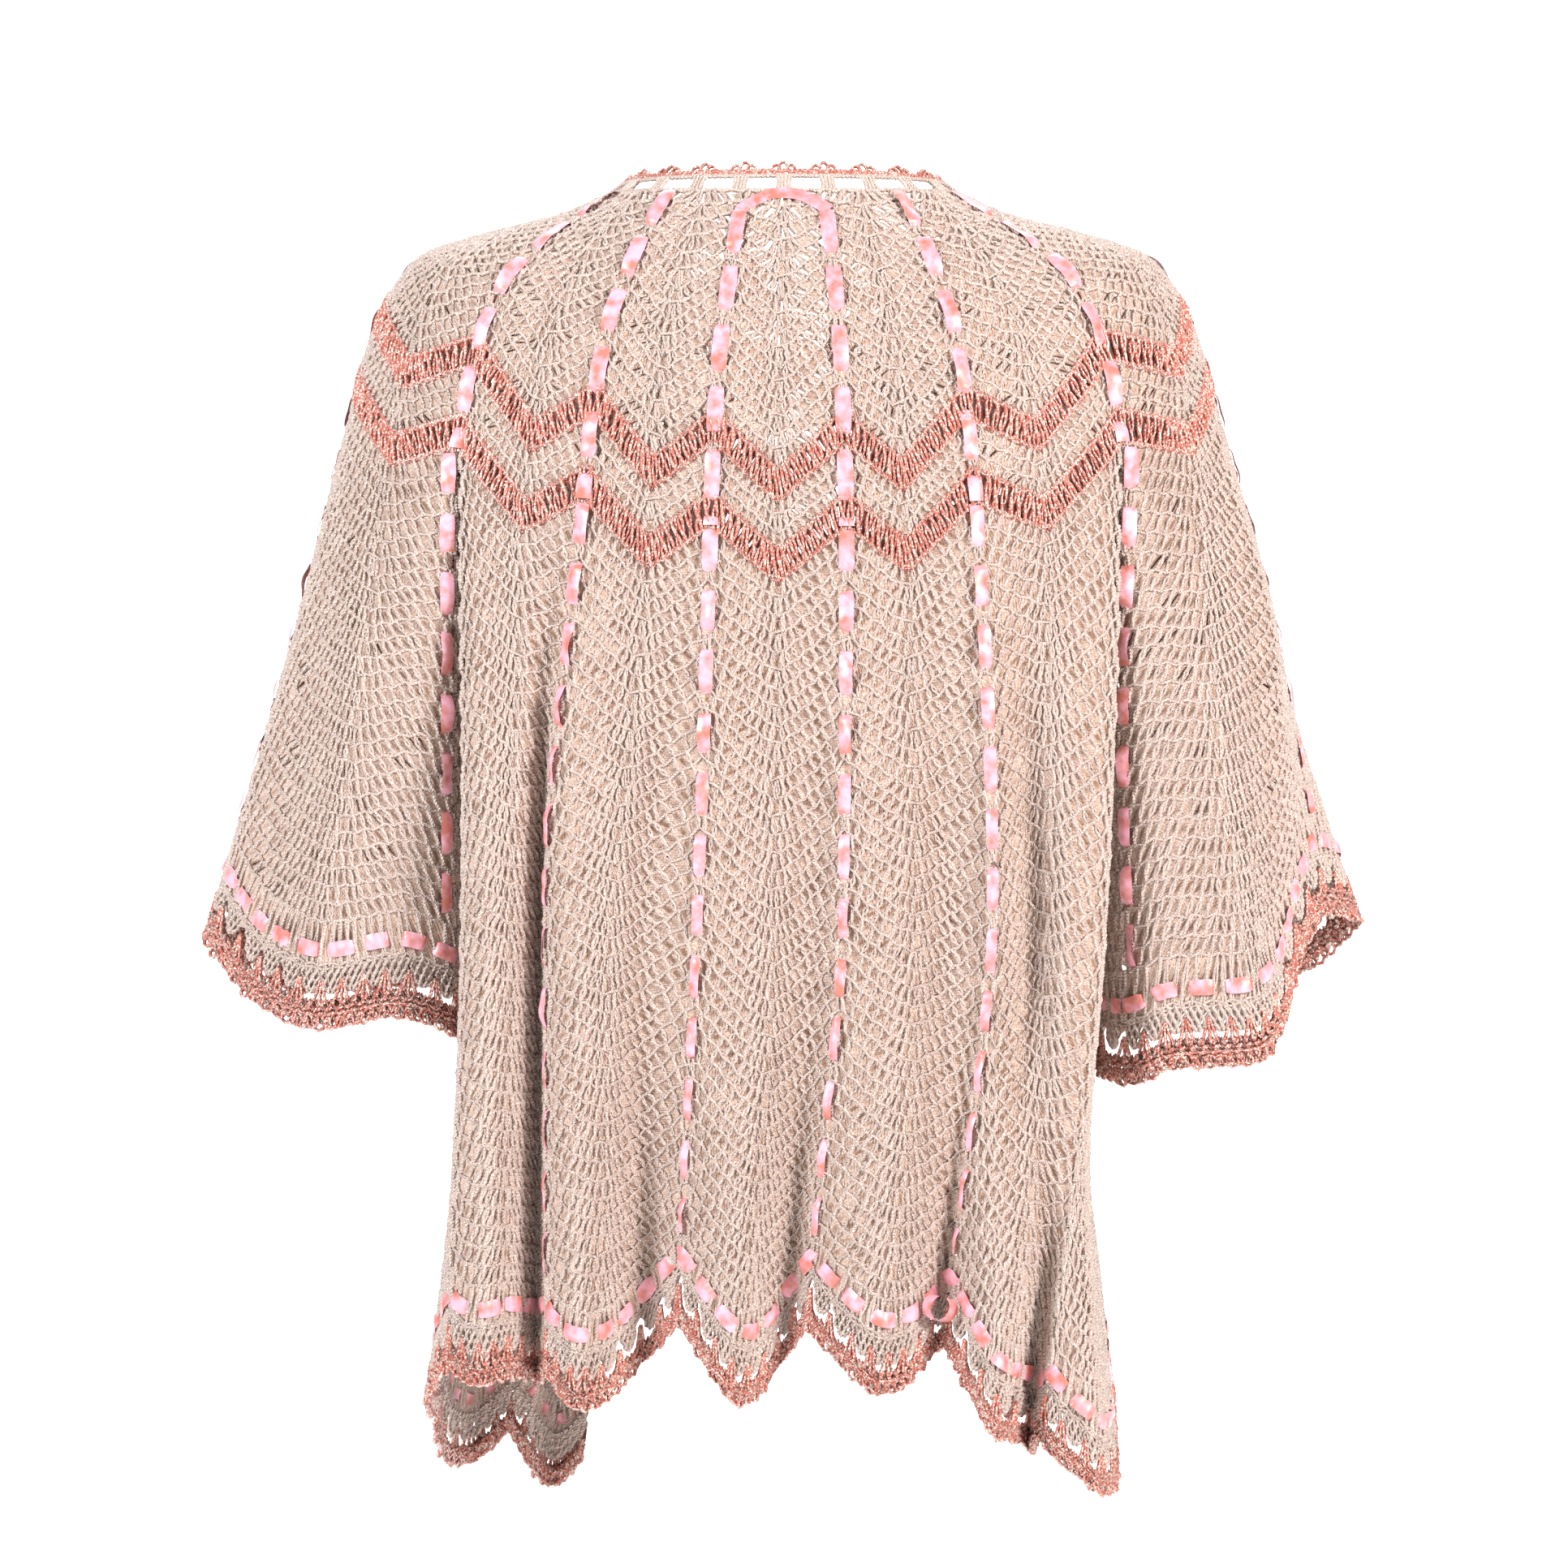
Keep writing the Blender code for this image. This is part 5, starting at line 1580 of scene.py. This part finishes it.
class JACKET_OT_ribbons(JacketOperator, bpy.types.Operator):
    """Weaves the satin ribbons down the valley lines, round the cuffs and along the hem"""

    bl_idname = "jacket.ribbons"
    bl_label = "Ribbons"

    def hanging(self, line, side):
        """The cloth, the place on it and the bead of a ribbon's lower part."""
        if BACK_LINE <= abs(line) <= SLEEVE_LINE:
            place = min(1.96, max(0.05, abs(line) - BACK_LINE))
            return sleeve_cloth(side), place, SLEEVE_BEAD
        past = FRONT_LINE - BODY_EDGE if abs(line) > BACK_LINE else 0.0
        return body_cloth(), line - side * past, BODY_BEAD

    def execute(self, context):
        size = context.scene.jacket_ribbon
        finish = satin(size)
        rng = np.random.default_rng(71)
        for number in range(RIBBON_LINES):
            for side, name in SIDES:
                name = f"line_{number + 1}_{name}"
                self.down(size, finish, rng, number, side, name)
        self.bead(size, finish, rng)
        self.arch(size, finish)
        self.loop(size, finish)
        return {"FINISHED"}

    def down(self, size, finish, rng, number, side, name):
        """The ribbon down one valley line, from the neck to the hem or the cuff."""
        line = side * (number + 0.5)
        yarn = Yarn()
        start = LINE_START if number else FIRST_START
        point, out = spaced(yoke_cloth(), line, np.linspace(start, SPLIT, 80))
        ribbon(yarn, point, out, Weave(size.yoke_period, YOKE_HIDDEN, rng), size.width, roll=0.35)
        cloth, place, bead = self.hanging(line, side)
        point, out = spaced(cloth, place, np.linspace(0.005, 1 - bead - 0.002, 160))
        weave = Weave(size.skirt_period, SKIRT_HIDDEN, rng)
        if line == STRAYING_LINE:
            weave.roll *= STRAYING_ROLL
            weave.slack *= STRAYING_SLACK
        share = np.linspace(0, 1, len(point))
        if number < LOOSE_LINES:
            ribbon(yarn, point, out, weave, size.width, 0.5, np.maximum(0.5, 1 - 0.55 * share))
        else:
            ribbon(yarn, point, out, weave, size.width, 0.3, 1 - 0.25 * share)
        yarn.build("satin_" + name, finish, "satin_ribbon", ["ribbon_" + name])

    def bead(self, size, finish, rng):
        """The ribbons through the row above the hem's and the cuffs' edging."""
        runs = [("hem", body_cloth(), even(-BODY_EDGE, BODY_EDGE, 1 / 96), BODY_BEAD)]
        for side, name in SIDES:
            runs.append(("cuff_" + name, sleeve_cloth(side), even(0, 3, 1 / 96), SLEEVE_BEAD))
        for name, cloth, places, bead in runs:
            fall = cloth.at(places, 1.0)[0] - cloth.at(places, 1 - bead)[0]
            level = 1 - bead * BEAD_DROP / np.linalg.norm(fall, axis=1)
            point, out = spaced(cloth, places, level, 0.0018)
            yarn = Yarn()
            weave = Weave(size.hem_period, HEM_HIDDEN, rng, 40)
            weave.slack *= 0.6
            ribbon(yarn, point, out, weave, size.width, roll=0.25)
            yarn.build("satin_" + name, finish, "satin_ribbon", ["ribbon_" + name])

    def arch(self, size, finish):
        """The short ribbon over the centre back of the neck."""
        lines = np.linspace(ARCH_HALF, -ARCH_HALF, 60)
        reach = ARCH_TOP + ARCH_FALL * np.abs(lines / ARCH_HALF) ** 2.4
        point, out = yoke_cloth().at(lines, reach)
        yarn = Yarn()
        weave = Weave(0.3, 0.0, np.random.default_rng(3), 4)
        weave.slack[:] = 0.5
        ribbon(yarn, point, out, weave, size.width * 0.95, roll=0.0)
        yarn.build("satin_arch", finish, "satin_ribbon", ["ribbon_arch"])

    def loop(self, size, finish):
        """The slack loop of the hem's ribbon, where it stands away from the cloth."""
        turn = np.linspace(*np.radians(LOOP_TURN), 30)
        ray = np.stack([-np.cos(turn), np.zeros(30), -np.sin(turn)], axis=1)
        near = np.array(LOOP_CENTRE) + ray * (LOOP_RADIUS - 0.001)
        across = np.array(LOOP_ACROSS) * np.linspace(0, size.width, 4)[:, None]
        maps = np.stack(np.meshgrid(np.linspace(0, 1, 4), np.linspace(0, 0.05, 30)), axis=-1)
        yarn = Yarn()
        yarn.grid(near[:, None] + across, maps)
        yarn.build("satin_loop", finish, "satin_ribbon", ["ribbon_loop"])


CAMERA_DISTANCE = 2.4
CAMERA_HEIGHT = -0.347
PHOTO_WIDTH = 0.9177
SENSOR = 36.0
# The paper: half its width, its near edge, where it bends up and how widely, and its top
FLOOR = -1.25
PAPER_HALF = 8.0
PAPER_NEAR = 6.0
PAPER_BEND = -3.2
PAPER_ROUND = 1.5
PAPER_TOP = 6.0
COOL_LIGHT = (0.97, 0.99, 1.0)
WARM_LIGHT = (1.0, 0.95, 0.92)
AIR = (1.0, 0.80, 0.66, 1)


class JACKET_OT_stage(bpy.types.Operator):
    """Sets the pale floor, the soft studio light and the camera at the photo's angle"""

    bl_idname = "jacket.stage"
    bl_label = "Stage"

    def execute(self, context):
        scene = context.scene
        staged = [self.paper(scene), *self.lights(scene)]
        camera = self.camera(scene)
        scene.view_settings.view_transform = "Standard"
        return {"FINISHED"}

    def paper(self, scene):
        """A sheet of pale paper that lies on the floor and bends up behind."""
        profile = [(PAPER_NEAR, 0.0)]
        for turn in np.linspace(0, math.pi / 2, 13):
            back = PAPER_BEND - PAPER_ROUND * math.sin(turn)
            profile.append((back, PAPER_ROUND - PAPER_ROUND * math.cos(turn)))
        profile.append((PAPER_BEND - PAPER_ROUND, PAPER_TOP))
        points = [(x, y, FLOOR + z) for x in (-PAPER_HALF, PAPER_HALF) for y, z in profile]
        count = len(profile)
        faces = [(i, i + 1, i + 1 + count, i + count) for i in range(count - 1)]
        mesh = bpy.data.meshes.new("studio_floor")
        mesh.from_pydata(points, [], faces)
        mesh.shade_smooth()
        finish = bpy.data.materials.new("pale_paper")
        finish.use_nodes = True
        tree = finish.node_tree
        fill(tree, tree.nodes["Principled BSDF"], {"Base Color": (0.9, 0.9, 0.9, 1), "Roughness": 0.9})
        mesh.materials.append(finish)
        made = bpy.data.objects.new("studio_floor", mesh)
        scene.collection.objects.link(made)
        return made

    def lights(self, scene):
        """Two soft lights on the jacket, one on the paper behind it, and the air."""
        size = scene.jacket_stage
        staged = []
        for name, place, aim, width, power, colour in (
            ("key_light", (2.2, 2.0, 0.8), (0, 0, -0.15), 0.9, size.key, COOL_LIGHT),
            ("fill_light", (-2.3, 2.0, 0.6), (0, 0, -0.15), 0.9, size.fill, WARM_LIGHT),
            ("backdrop_light", (0.0, -1.5, 2.2), (0, -4.0, 0.0), 3.0, size.key * 3, COOL_LIGHT),
        ):
            lamp = bpy.data.lights.new(name, "AREA")
            lamp.size = width
            lamp.energy = power
            lamp.color = colour
            made = bpy.data.objects.new(name, lamp)
            made.location = place
            made.rotation_euler = (Vector(aim) - Vector(place)).to_track_quat("-Z", "Y").to_euler()
            scene.collection.objects.link(made)
            staged.append(made)
        scene.world = bpy.data.worlds.new("studio_air")
        scene.world.use_nodes = True
        tree = scene.world.node_tree
        fill(tree, tree.nodes["Background"], {"Color": AIR, "Strength": size.sky})
        return staged

    def camera(self, scene):
        """The camera behind the jacket, level with its middle."""
        lens = bpy.data.cameras.new("camera")
        lens.sensor_width = SENSOR
        lens.lens = SENSOR * CAMERA_DISTANCE / PHOTO_WIDTH
        lens.clip_end = 50.0
        made = bpy.data.objects.new("camera", lens)
        made.location = (0.0, CAMERA_DISTANCE, CAMERA_HEIGHT)
        made.rotation_euler = (math.pi / 2, 0, math.pi)
        scene.collection.objects.link(made)
        scene.camera = made
        return made


OPERATORS = (
    JACKET_OT_yoke,
    JACKET_OT_silk_rows,
    JACKET_OT_body,
    JACKET_OT_sleeves,
    JACKET_OT_edgings,
    JACKET_OT_neck,
    JACKET_OT_front_edgings,
    JACKET_OT_ribbons,
    JACKET_OT_stage,
)


class JACKET_PT_panel(bpy.types.Panel):
    """The sizes and colours, and the operators in their order"""

    bl_idname = "JACKET_PT_panel"
    bl_label = "Crochet Bed Jacket"
    bl_space_type = "VIEW_3D"
    bl_region_type = "UI"
    bl_category = "Bed Jacket"

    def draw(self, context):
        scene = context.scene
        for settings in (scene.jacket_yarn, scene.jacket_ribbon, scene.jacket_stage):
            box = self.layout.box()
            for name in settings.bl_rna.properties.keys():
                if name not in ("rna_type", "name"):
                    box.prop(settings, name)
        for operator in OPERATORS:
            self.layout.operator(operator.bl_idname)


CLASSES = (YarnSettings, RibbonSettings, StageSettings, *OPERATORS, JACKET_PT_panel)


def register():
    """Makes the settings, the operators and the panel known."""
    for item in CLASSES:
        bpy.utils.register_class(item)
    bpy.types.Scene.jacket_yarn = bpy.props.PointerProperty(type=YarnSettings)
    bpy.types.Scene.jacket_ribbon = bpy.props.PointerProperty(type=RibbonSettings)
    bpy.types.Scene.jacket_stage = bpy.props.PointerProperty(type=StageSettings)


def unregister():
    """Takes all of them away again."""
    del bpy.types.Scene.jacket_stage
    del bpy.types.Scene.jacket_ribbon
    del bpy.types.Scene.jacket_yarn
    for item in reversed(CLASSES):
        bpy.utils.unregister_class(item)


def main():
    register()
    for operator in OPERATORS:
        getattr(bpy.ops.jacket, operator.bl_idname.split(".")[1])()


if __name__ == "__main__":
    main()
